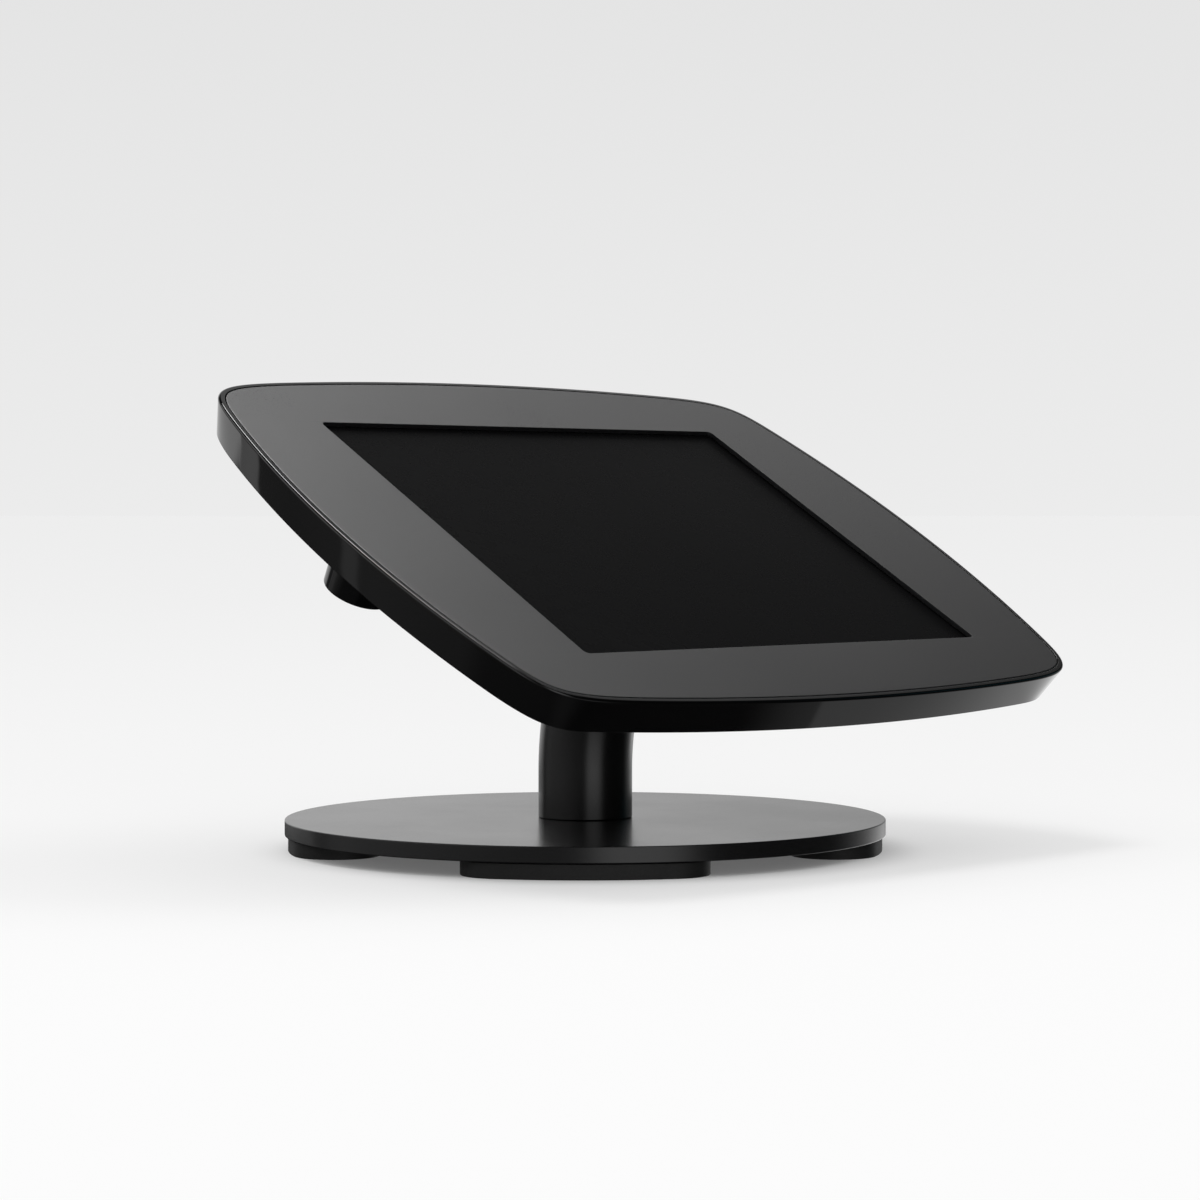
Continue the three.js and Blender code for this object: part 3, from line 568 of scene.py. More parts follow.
# ------------------------------------------------------------------ enclosure body
def enclosure_body():
    b = Build()
    top = lambda off: outline(TOP, off)
    foot, wall = outline(BACK, 0), outline(TOP, RIM - RIM_R * (1 - math.cos(math.radians(14.5))))
    z_wall = -RIM_R - RIM_R * math.sin(math.radians(14.5))
    inner = outline(BACK, -0.55)
    rows = [lift(inner, SHELL_BACK)]
    start = [Vector((x, y, SHELL_BACK)) for x, y in inner]
    corner = [Vector((x, y, SHELL_BACK)) for x, y in foot]
    upper = [Vector((x, y, z_wall)) for x, y in wall]
    along = [(u - c).normalized() for c, u in zip(corner, upper)]
    for k in range(1, 7):
        t = k / 6
        rows.append(
            [tuple(s * (1 - t) ** 2 + c * 2 * t * (1 - t) + (c + d * 0.55) * t * t) for s, c, d in zip(start, corner, along)]
        )
    first = [c + d * 0.55 for c, d in zip(corner, along)]
    for k in range(1, 4):
        rows.append([tuple(f.lerp(u, k / 4)) for f, u in zip(first, upper)])
    for k in range(0, 13):
        a = math.radians(-14.5 + 104.5 * k / 12)
        rows.append(lift(top(RIM - RIM_R + RIM_R * math.cos(a)), -RIM_R + RIM_R * math.sin(a)))
    r = 0.14
    for k in range(0, 5):
        a = math.radians(90 * k / 4)
        rows.append(lift(top(GROOVE + r - r * math.sin(a)), -r + r * math.cos(a)))
    rows.append(lift(top(GROOVE), LEDGE))
    rows.append(lift(top(-2.0), LEDGE))
    rows.append(lift(top(-2.2), LEDGE - 0.2))
    rows.append(lift(outline(BACK, -2.2), SHELL_FLOOR + 0.6))
    rows.append(lift(outline(BACK, -2.38), SHELL_FLOOR + 0.18))
    rows.append(lift(outline(BACK, -2.8), SHELL_FLOOR))
    idx = b.rings(rows)
    # swivel boss
    boss = softened(
        [
            (49.2, SHELL_BACK),
            (46.9, SHELL_BACK),
            (BOSS_R, BOSS_BACK),
            (SWIVEL_HOLE_R, BOSS_BACK),
            (SWIVEL_HOLE_R, BOSS_FLOOR),
            (BOSS_POCKET_R, BOSS_FLOOR),
            (BOSS_POCKET_R, SHELL_FLOOR),
            (BOSS_POCKET_R + 0.6, SHELL_FLOOR),
        ],
        {1: 1.6, 2: 1.2, 3: 0.4, 4: 0.3, 5: 0.6, 6: 0.3},
    )
    s = b.lathe(boss, 144, closed=False)
    # lock boss
    lock = softened(
        [
            (13.95, SHELL_BACK),
            (13.05, SHELL_BACK),
            (LOCK_BOSS_R, LOCK_BOSS_END),
            (LOCK_BORE_R, LOCK_BOSS_END),
            (LOCK_BORE_R, SHELL_FLOOR),
            (LOCK_BORE_R + 0.4, SHELL_FLOOR),
        ],
        {1: 1.1, 2: 1.0, 3: 0.25, 4: 0.2},
    )
    k = b.lathe(lock, 88, LOCK_U, 0.0, closed=False)
    b.fill(idx[0], s[0], k[0])
    b.fill(idx[-1], s[-1], k[-1])
    o = b.make("enclosure_body_moulding", HEAD)
    for a0, a1 in ((13, 31), (-121, -103)):
        stop = prism("stop", HEAD, sector(34, BOSS_POCKET_R + 0.5, a0, a1, 8), BOSS_FLOOR - 0.5, -14.2)
        fuse(o, stop)
    return smooth(o)


stand_for(enclosure_body(), "enclosure_body", GLOSS)


# ------------------------------------------------------------------ faceplate
def faceplate():
    b = Build()
    rows = [lift(outline(TOP, -GROOVE - 0.1), -FACE_T), lift(outline(TOP, -GROOVE), -FACE_T + 0.1)]
    c, d = 0.42, 0.17
    for k in range(0, 7):
        a = math.radians(90 * k / 6)
        rows.append(lift(outline(TOP, -GROOVE - c + c * math.cos(a)), -d + d * math.sin(a)))
    outer = b.rings(rows)
    hole = lambda d: round_rect(APERTURE_W + 2 * d, APERTURE_H + 2 * d, APERTURE_R + d, 12)
    e = 0.12
    inner = [lift(hole(e), 0)]
    for k in range(1, 4):
        a = math.radians(90 * k / 3)
        inner.append(lift(hole(e - e * math.sin(a)), -e + e * math.cos(a)))
    inner += [lift(hole(0), -FACE_T + 0.08), lift(hole(0.08), -FACE_T)]
    walls = b.rings(inner)
    b.fill(outer[0], walls[-1])
    b.fill(outer[-1], walls[0])
    return smooth(b.make("faceplate_panel", HEAD))


stand_for(faceplate(), "faceplate", PANEL)


# ------------------------------------------------------------------ base plate, pads, grommet, screws
def screw_angles():
    return [45 + 90 * i for i in range(4)]


def base_plate():
    o = turned(
        "base_plate_disc",
        BASE,
        softened(
            [
                (PLATE_HOLE_R, FOOT_H),
                (PLATE_R, FOOT_H),
                (PLATE_R, PLATE_TOP),
                (PLATE_HOLE_R, PLATE_TOP),
            ],
            {0: 0.25, 1: 0.4, 2: 0.4, 3: 0.2},
            closed=True,
        ),
        288,
    )
    for a in screw_angles():
        x, y = BASE_SCREW_RC * math.cos(math.radians(a)), BASE_SCREW_RC * math.sin(math.radians(a))
        cutter = turned(
            "hole",
            at(BASE, x, y),
            [(0, FOOT_H - 1), (4.5, FOOT_H - 1), (4.5, FOOT_H), (2.3, FOOT_H + 2.2), (2.3, PLATE_TOP + 1), (0, PLATE_TOP + 1)],
            40,
        )
        cut(o, cutter)
    return smooth(o)


stand_for(base_plate(), "base_plate", COAT)


def foot_pad(name, turn):
    n = 20

    def ring(inset, z):
        out, hw = [], FOOT_HALF_W - inset

        def end(a, start):
            for i in range(1, n):
                q = math.radians(a + start + 180 * i / n)
                out.append((FOOT_RC * math.cos(math.radians(a)) + hw * math.cos(q), FOOT_RC * math.sin(math.radians(a)) + hw * math.sin(q)))

        for i in range(25):
            a = math.radians(-FOOT_HALF_ARC + 2 * FOOT_HALF_ARC * i / 24)
            out.append(((FOOT_RC + hw) * math.cos(a), (FOOT_RC + hw) * math.sin(a)))
        end(FOOT_HALF_ARC, 0)
        for i in range(24, -1, -1):
            a = math.radians(-FOOT_HALF_ARC + 2 * FOOT_HALF_ARC * i / 24)
            out.append(((FOOT_RC - hw) * math.cos(a), (FOOT_RC - hw) * math.sin(a)))
        end(-FOOT_HALF_ARC, 180)
        return lift(out, z)

    r, rt = 0.35, 0.3
    rows = []
    for k in range(7):
        a = math.radians(90 * k / 6)
        rows.append(ring(r - r * math.sin(a), r - r * math.cos(a)))
    for k in range(4):
        a = math.radians(90 * k / 3)
        rows.append(ring(rt - rt * math.cos(a), FOOT_H - 0.3 - rt + rt * math.sin(a)))
    b = Build()
    idx = b.rings(rows)
    b.face(idx[0])
    b.face(idx[-1])
    return smooth(b.make(name, at(BASE, turn=turn)))


for side, angle in (("back_right", 45), ("back_left", 135), ("front_left", 225), ("front_right", 315)):
    stand_for(foot_pad("rubber_pad_" + side, angle), "foot_pad_" + side, RUBBER)

stand_for(
    smooth(
        turned(
            "grommet_rubber",
            BASE,
            softened(
                [(4.5, 4.5), (7.0, 4.5), (7.0, 5.7), (5.9, 5.7), (5.9, 12.3), (7.4, 12.3), (7.4, 13.5), (4.5, 13.5)],
                {0: 0.5, 1: 0.5, 2: 0.2, 3: 0.2, 4: 0.2, 5: 0.2, 6: 0.5, 7: 0.5},
                4,
                closed=True,
            ),
            64,
        )
    ),
    "cable_grommet",
    RUBBER,
)


def hexagon(r):
    return circle(r, 6)


def base_screw(name, x, y):
    o = turned(
        name,
        at(BASE, x, y),
        softened(
            [
                (0, FOOT_H + 0.1),
                (4.0, FOOT_H + 0.1),
                (4.0, FOOT_H + 0.3),
                (M4_R, FOOT_H + 2.3),
                (M4_R, 23.4),
                (1.5, 24),
                (0, 24),
            ],
            {1: 0.08, 2: 0.1},
            3,
        ),
        48,
    )
    cut(o, prism("socket", at(BASE, x, y), hexagon(1.45), FOOT_H - 1, FOOT_H + 1.7))
    return smooth(o)


for i, a in enumerate(screw_angles()):
    x, y = BASE_SCREW_RC * math.cos(math.radians(a)), BASE_SCREW_RC * math.sin(math.radians(a))
    stand_for(base_screw(f"base_screw_machined_{i + 1}", x, y), f"base_screw_{i + 1}", STEEL)


# ------------------------------------------------------------------ arm
def arm_tube():
    stations = [(0.0, PLATE_TOP + 0.05, 0.0), (0.0, PLATE_TOP + 0.7, 0.0), (0.0, PLATE_TOP + 9.0, 0.0)]
    steps = 36
    for i in range(steps + 1):
        a = TILT * i / steps
        ar = math.radians(a)
        stations.append((-BEND_R * (1 - math.cos(ar)), PLATE_TOP + BEND_START + BEND_R * math.sin(ar), a))
    straight = HEAD_REACH + FLANGE_TOP - FLANGE_T - 0.3
    y, z, _ = stations[-1]
    for f in (0.5, 1.0):
        stations.append((y - straight * f * math.sin(_t), z + straight * f * math.cos(_t), TILT))
    n = 128

    def loop(r, y, z, a, shift=0.0):
        ar = math.radians(a)
        return [
            (
                r * math.cos(q),
                y + r * math.sin(q) * math.cos(ar) - shift * math.sin(ar),
                z + r * math.sin(q) * math.sin(ar) + shift * math.cos(ar),
            )
            for q in (2 * math.pi * i / n for i in range(n))
        ]

    e = 0.45
    rows = []
    y0, z0, a0 = stations[0]
    for k in range(4):
        q = math.radians(90 * k / 3)
        rows.append(loop(TUBE_R - e + e * math.sin(q), y0, z0 + e - e * math.cos(q), a0))
    rows += [loop(TUBE_R, *s) for s in stations[2:-1]]
    y1, z1, a1 = stations[-1]
    for k in range(4):
        q = math.radians(90 * k / 3)
        rows.append(loop(TUBE_R - e + e * math.cos(q), y1, z1, a1, -e + e * math.sin(q)))
    rows += [loop(TUBE_BORE_R, *s) for s in reversed(stations[2:])]
    rows.append(loop(TUBE_BORE_R, y0, z0 + 0.3, a0))
    rows.append(loop(TUBE_BORE_R + 0.3, y0, z0, a0))
    b = Build()
    b.rings(rows, close=True)
    return smooth(b.make("arm_tube_bent", BASE))


stand_for(arm_tube(), "arm_tube", COAT)


def with_holes(o, matrix, r, z0, z1, rc, n=32, csk=0.0):
    for a in screw_angles():
        x, y = rc * math.cos(math.radians(a)), rc * math.sin(math.radians(a))
        cut(o, prism("hole", at(matrix, x, y), circle(r, n), z0, z1))
    return o


stand_for(
    smooth(
        with_holes(
            turned(
                "foot_plug_turned",
                BASE,
                softened(
                    [(8.0, PLATE_TOP + 0.3), (14.6, PLATE_TOP + 0.3), (14.6, PLATE_TOP + 16), (8.0, PLATE_TOP + 16)],
                    0.4,
                    3,
                    closed=True,
                ),
                96,
            ),
            BASE,
            M4_HOLE_R,
            PLATE_TOP - 1,
            PLATE_TOP + 14,
            BASE_SCREW_RC,
        )
    ),
    "arm_foot_plug",
    STEEL,
)

stand_for(
    smooth(
        with_holes(
            turned(
                "head_flange_turned",
                HEAD,
                softened(
                    [
                        (CABLE_BORE_R, FLANGE_TOP - FLANGE_T - 8),
                        (14.6, FLANGE_TOP - FLANGE_T - 8),
                        (14.6, FLANGE_TOP - FLANGE_T),
                        (FLANGE_R, FLANGE_TOP - FLANGE_T),
                        (FLANGE_R, FLANGE_TOP),
                        (CABLE_BORE_R, FLANGE_TOP),
                    ],
                    {0: 0.4, 1: 0.4, 3: 0.6, 4: 0.4, 5: 0.4},
                    4,
                    closed=True,
                ),
                144,
            ),
            HEAD,
            M4_HOLE_R,
            FLANGE_TOP - 3.9,
            FLANGE_TOP + 1,
            HUB_SCREW_RC,
        )
    ),
    "arm_head_flange",
    COAT,
)

# ------------------------------------------------------------------ swivel
stand_for(
    smooth(
        turned(
            "friction_washer_ring",
            HEAD,
            softened(
                [(22.5, FLANGE_TOP + 0.3), (36, FLANGE_TOP + 0.3), (36, BOSS_BACK - 0.34), (22.5, BOSS_BACK - 0.34)],
                0.15,
                2,
                closed=True,
            ),
            128,
        )
    ),
    "hub_friction_washer",
    ACETAL,
)
stand_for(
    smooth(
        with_holes(
            turned(
                "hub_bush_ring",
                HEAD,
                softened(
                    [(CABLE_BORE_R, FLANGE_TOP + 0.3), (21.6, FLANGE_TOP + 0.3), (21.6, -17.3), (CABLE_BORE_R, -17.3)],
                    0.3,
                    3,
                    closed=True,
                ),
                112,
            ),
            HEAD,
            M4_HOLE_R,
            -23,
            -16,
            HUB_SCREW_RC,
        )
    ),
    "hub_bush",
    ACETAL,
)


def wave_washer():
    """Four waves in a thin spring ring, inside the thickness that the CAD ring holds."""
    b = Build()
    n, t = 144, 0.24
    mid, amp = -17.58, (0.56 - t) / 2 - 0.005
    rows = []
    for r, dz in ((23.05, -t / 2), (29.95, -t / 2), (29.95, t / 2), (23.05, t / 2)):
        rows.append(
            [
                (
                    r * math.cos(2 * math.pi * i / n),
                    r * math.sin(2 * math.pi * i / n),
                    mid + dz + amp * math.sin(4 * 2 * math.pi * i / n),
                )
                for i in range(n)
            ]
        )
    b.rings(rows, close=True)
    return smooth(b.make("wave_spring_ring", HEAD))


stand_for(wave_washer(), "hub_wave_washer", STEEL)


def retainer():
    o = turned(
        "retainer_plate",
        HEAD,
        softened([(CABLE_BORE_R, -17.0), (RETAINER_R, -17.0), (RETAINER_R, -14.5), (CABLE_BORE_R, -14.5)], 0.3, 3, closed=True),
        128,
    )
    fuse(o, prism("tab", HEAD, sector(RETAINER_R - 4, 38, -12, 12, 12), -16.98, -14.52))
    with_holes(o, HEAD, M4_HOLE_R, -18, -14, HUB_SCREW_RC)
    return smooth(o)


stand_for(retainer(), "hub_retainer", STEEL)


def hub_screw(name, x, y):
    o = turned(
        name,
        at(HEAD, x, y),
        softened(
            [
                (0, FLANGE_TOP - 3.6),
                (1.5, FLANGE_TOP - 3.6),
                (M4_R, FLANGE_TOP - 3.1),
                (M4_R, -14.2),
                (3.7, -14.2),
                (3.7, -12.2),
                (0, -12.2),
            ],
            {4: 0.1, 5: 0.7},
            5,
        ),
        48,
    )
    cut(o, prism("socket", at(HEAD, x, y), hexagon(1.45), -13.6, -11))
    return smooth(o)


for i, a in enumerate(screw_angles()):
    x, y = HUB_SCREW_RC * math.cos(math.radians(a)), HUB_SCREW_RC * math.sin(math.radians(a))
    stand_for(hub_screw(f"hub_screw_machined_{i + 1}", x, y), f"hub_screw_{i + 1}", STEEL)

# ------------------------------------------------------------------ faceplate fixings
for i, (x, y) in enumerate(((139, 48), (-139, 48), (-139, -48), (139, -48))):
    stand_for(
        smooth(
            turned(
                f"stud_moulded_{i + 1}",
                at(HEAD, x, y),
                softened(
                    [
                        (0, -9.6),
                        (1.2, -9.6),
                        (2.1, -8.6),
                        (1.6, -7.2),
                        (2.0, -6.2),
                        (2.0, -2.9),
                        (4.5, -2.9),
                        (4.5, -FACE_T - 0.3),
                        (0, -FACE_T - 0.3),
                    ],
                    {1: 0.4, 2: 0.5, 3: 0.6, 4: 0.4, 5: 0.25, 6: 0.2, 7: 0.15},
                    4,
                ),
                48,
            )
        ),
        f"faceplate_stud_{i + 1}",
        ACETAL,
    )
    stand_for(
        smooth(
            turned(
                f"socket_moulded_{i + 1}",
                at(HEAD, x, y),
                softened(
                    [(2.55, SHELL_FLOOR + 0.3), (4.4, SHELL_FLOOR + 0.3), (4.4, -6.5), (2.55, -6.5)],
                    {0: 0.1, 1: 0.2, 2: 0.3, 3: 0.5},
                    4,
                    closed=True,
                ),
                48,
            )
        ),
        f"snap_socket_{i + 1}",
        ACETAL,
    )

stand_for(smooth(bevelled(from_cad("latch_keeper", "latch_keeper_pressed"), 0.25, 3)), "latch_keeper", STEEL)


# ------------------------------------------------------------------ lock
LOCK = at(HEAD, LOCK_U, 0)
stand_for(
    smooth(
        turned(
            "lock_barrel_turned",
            LOCK,
            softened(
                [(6.3, -23.3), (9.0, -23.3), (9.0, -8.3), (6.3, -8.3)],
                {0: 0.3, 1: 0.5, 2: 0.2, 3: 0.2},
                5,
                closed=True,
            ),
            96,
        )
    ),
    "lock_barrel",
    CHROME,
)


def lock_nut():
    o = prism("lock_nut_hex", at(LOCK, turn=30), circle(12.2, 6), SHELL_FLOOR + 0.3, -9.7)
    bevelled(o, 0.3, 2, 20)
    cut(o, prism("bore", LOCK, circle(9.3, 72), -13, -9))
    return smooth(o)


stand_for(lock_nut(), "lock_nut", STEEL)


def lock_plug():
    o = turned("lock_plug_turned", LOCK, softened([(0, -23.0), (6.0, -23.0), (6.0, -8.0), (0, -8.0)], {1: 0.3, 2: 0.2}, 4), 96)
    fuse(o, prism("tang", LOCK, [(-2.8, -2.8), (2.8, -2.8), (2.8, 2.8), (-2.8, 2.8)], -8.1, -5.6))
    cut(o, prism("keyway", LOCK, round_rect(8.0, 2.0, 0.9, 6), -24, -17))
    cut(o, prism("thread", LOCK, circle(1.6, 36), -12, -5))
    return smooth(o)


stand_for(lock_plug(), "lock_plug", CHROME)


def lock_cam():
    pts = [(5.6 * math.cos(math.radians(q)), 5.6 * math.sin(math.radians(q))) for q in np.linspace(-90, 90, 25)]
    pts += [(-7.4 + 4.1 * math.cos(math.radians(q)), 4.1 * math.sin(math.radians(q))) for q in np.linspace(90, 270, 21)]
    o = prism("lock_cam_pressed", LOCK, pts, -7.6, -6.1, [[(-3.1, -3.1), (-3.1, 3.1), (3.1, 3.1), (3.1, -3.1)]])
    return smooth(bevelled(o, 0.18, 2, 50))


stand_for(lock_cam(), "lock_cam", STEEL)


def cam_screw():
    o = turned(
        "lock_cam_screw_machined",
        LOCK,
        softened([(0, -11), (1.25, -11), (1.25, -5.3), (4.4, -5.3), (4.4, -3.7), (0, -3.7)], {3: 0.15, 4: 0.8}, 5),
        56,
    )
    for turn in (0, 90):
        cut(o, prism("cross", at(LOCK, turn=turn), [(-1.9, -0.4), (1.9, -0.4), (1.9, 0.4), (-1.9, 0.4)], -4.8, -3))
    return smooth(o)


stand_for(cam_screw(), "lock_cam_screw", STEEL)

# ------------------------------------------------------------------ tablet
for corner in ("top_right", "top_left", "bottom_left", "bottom_right"):
    node = "corner_bumper_" + corner
    stand_for(smooth(bevelled(from_cad(node, "bumper_moulded_" + corner), 0.5, 3)), node, FOAM)

BUTTON_W = -6.4


def back_shell():
    b = Build()
    rows = []
    for k in range(9):
        a = math.radians(90 * k / 8)
        inset, z = 1.25 * (1 - math.sin(a)), TABLET_BACK + 2.0 * (1 - math.cos(a))
        rows.append(lift(round_rect(TABLET_W - 2 * inset, TABLET_H - 2 * inset, TABLET_R - inset, 16), z))
    rows.append(lift(round_rect(TABLET_W, TABLET_H, TABLET_R, 16), -3.42))
    rows.append(lift(round_rect(TABLET_W - 0.24, TABLET_H - 0.24, TABLET_R - 0.12, 16), -3.3))
    rows.append(lift(round_rect(TABLET_W - 2.8, TABLET_H - 2.8, TABLET_R - 1.4, 16), -3.3))
    rows.append(lift(round_rect(TABLET_W - 2.8, TABLET_H - 2.8, TABLET_R - 1.4, 16), TABLET_BACK + 1.0))
    idx = b.rings(rows)
    b.face(idx[0])
    b.face(idx[-1])
    o = b.make("tablet_shell_milled", HEAD)
    bx, by = TABLET_W / 2, TABLET_H / 2
    cut(o, prism("slot", HEAD, [(-bx - 1, 60.6), (-bx + 2, 60.6), (-bx + 2, 71.4), (-bx - 1, 71.4)], BUTTON_W - 1.45, BUTTON_W + 1.45))
    for cx in (-94, -81):
        cut(
            o,
            prism("slot", HEAD, [(cx - 5.4, by - 2), (cx + 5.4, by - 2), (cx + 5.4, by + 1), (cx - 5.4, by + 1)], BUTTON_W - 1.45, BUTTON_W + 1.45),
        )
    return smooth(o)


stand_for(back_shell(), "tablet_back_shell", ALU)


def cover_glass():
    b = Build()
    rows = [lift(round_rect(TABLET_W - 1.0, TABLET_H - 1.0, TABLET_R - 0.5, 16), GLASS_TOP - 0.85)]
    rows.append(lift(round_rect(TABLET_W - 0.8, TABLET_H - 0.8, TABLET_R - 0.4, 16), GLASS_TOP - 0.75))
    for k in range(5):
        a = math.radians(90 * k / 4)
        inset = 0.4 + 0.3 * (1 - math.cos(a))
        rows.append(lift(round_rect(TABLET_W - 2 * inset, TABLET_H - 2 * inset, TABLET_R - inset, 16), GLASS_TOP - 0.3 + 0.3 * math.sin(a)))
    idx = b.rings(rows)
    b.face(idx[0])
    b.face(idx[-1])
    return smooth(b.make("tablet_cover_glass", HEAD))


stand_for(cover_glass(), "tablet_glass", GLASS)
stand_for(smooth(bevelled(from_cad("tablet_display", "display_module"), 0.25, 2)), "tablet_display", DISPLAY)
for side in ("left", "right"):
    node = "tablet_battery_" + side
    stand_for(smooth(bevelled(from_cad(node, "battery_cell_" + side), 0.6, 3)), node, BATTERY)


def logic_board():
    o = smooth(bevelled(from_cad("tablet_logic_board", "logic_board_assembly"), 0.08, 2))
    o.data.materials.append(BOARD)
    o.data.materials.append(CHIP)
    inv = (Matrix.Scale(MM, 4) @ HEAD).inverted()
    for p in o.data.polygons:
        if (inv @ p.center).z > -7.42:
            p.material_index = 1
    return o


stand_for(logic_board(), "tablet_logic_board", BOARD)


def key(name, across, x, y):
    """A rounded key 1.7 deep whose outer edge is softened; across is for the side edge."""
    b = Build()
    e = 0.3
    rows = [round_rect(10, 2.2, 1.05, 8)] * 2
    depths = [0.0, 1.7 - e]
    for k in range(1, 5):
        a = math.radians(90 * k / 4)
        d = e * (1 - math.cos(a))
        rows.append(round_rect(10 - 2 * d, 2.2 - 2 * d, 1.05 - d, 8))
        depths.append(1.7 - e + e * math.sin(a))
    made = []
    for ring, depth in zip(rows, depths):
        if across:  # along -X
            made.append([(x - depth, y + p, BUTTON_W + q) for p, q in ring])
        else:  # along +Y
            made.append([(x + p, y + depth, BUTTON_W + q) for p, q in ring])
    idx = b.rings(made)
    b.face(idx[0])
    b.face(idx[-1])
    return smooth(b.make(name, HEAD))


stand_for(key("power_key", True, -TABLET_W / 2 + 1.2, 66), "tablet_power_button", ALU)
stand_for(key("volume_up_key", False, -94, TABLET_H / 2 - 1.2), "tablet_volume_up_button", ALU)
stand_for(key("volume_down_key", False, -81, TABLET_H / 2 - 1.2), "tablet_volume_down_button", ALU)

for node, o in MADE.items():
    lo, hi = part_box(node)
    co = np.array([v.co for v in o.data.vertices])
    d = max(abs(co.min(0) - np.array(lo)).max(), abs(co.max(0) - np.array(hi)).max())
    if d > 0.0006:
        print("BOX", node, "differs by", round(d * 1000, 3), "mm")
print("CAD nodes still showing:", sorted(set(frame["nodes"]) - set(MADE)))


# ------------------------------------------------------------------ stage: pale floor, studio surroundings, lights, camera
class Nodes:
    """Short calls for arithmetic on node sockets."""

    def __init__(self, tree):
        self.t = tree

    def math(self, op, a, b=0.0, clamp=False):
        n = self.t.nodes.new("ShaderNodeMath")
        n.operation, n.use_clamp = op, clamp
        for i, v in enumerate((a, b)):
            if isinstance(v, (int, float)):
                n.inputs[i].default_value = v
            else:
                self.t.links.new(v, n.inputs[i])
        return n.outputs[0]

    def step(self, x, a, b, lo=0.0, hi=1.0, smooth_edge=True):
        n = self.t.nodes.new("ShaderNodeMapRange")
        n.interpolation_type = "SMOOTHSTEP" if smooth_edge else "LINEAR"
        n.clamp = True
        n.inputs["From Min"].default_value, n.inputs["From Max"].default_value = a, b
        n.inputs["To Min"].default_value, n.inputs["To Max"].default_value = lo, hi
        self.t.links.new(x, n.inputs["Value"])
        return n.outputs["Result"]

    def band(self, x, a0, a1, b0, b1):
        return self.math("MULTIPLY", self.step(x, a0, a1), self.step(x, b0, b1, 1.0, 0.0))


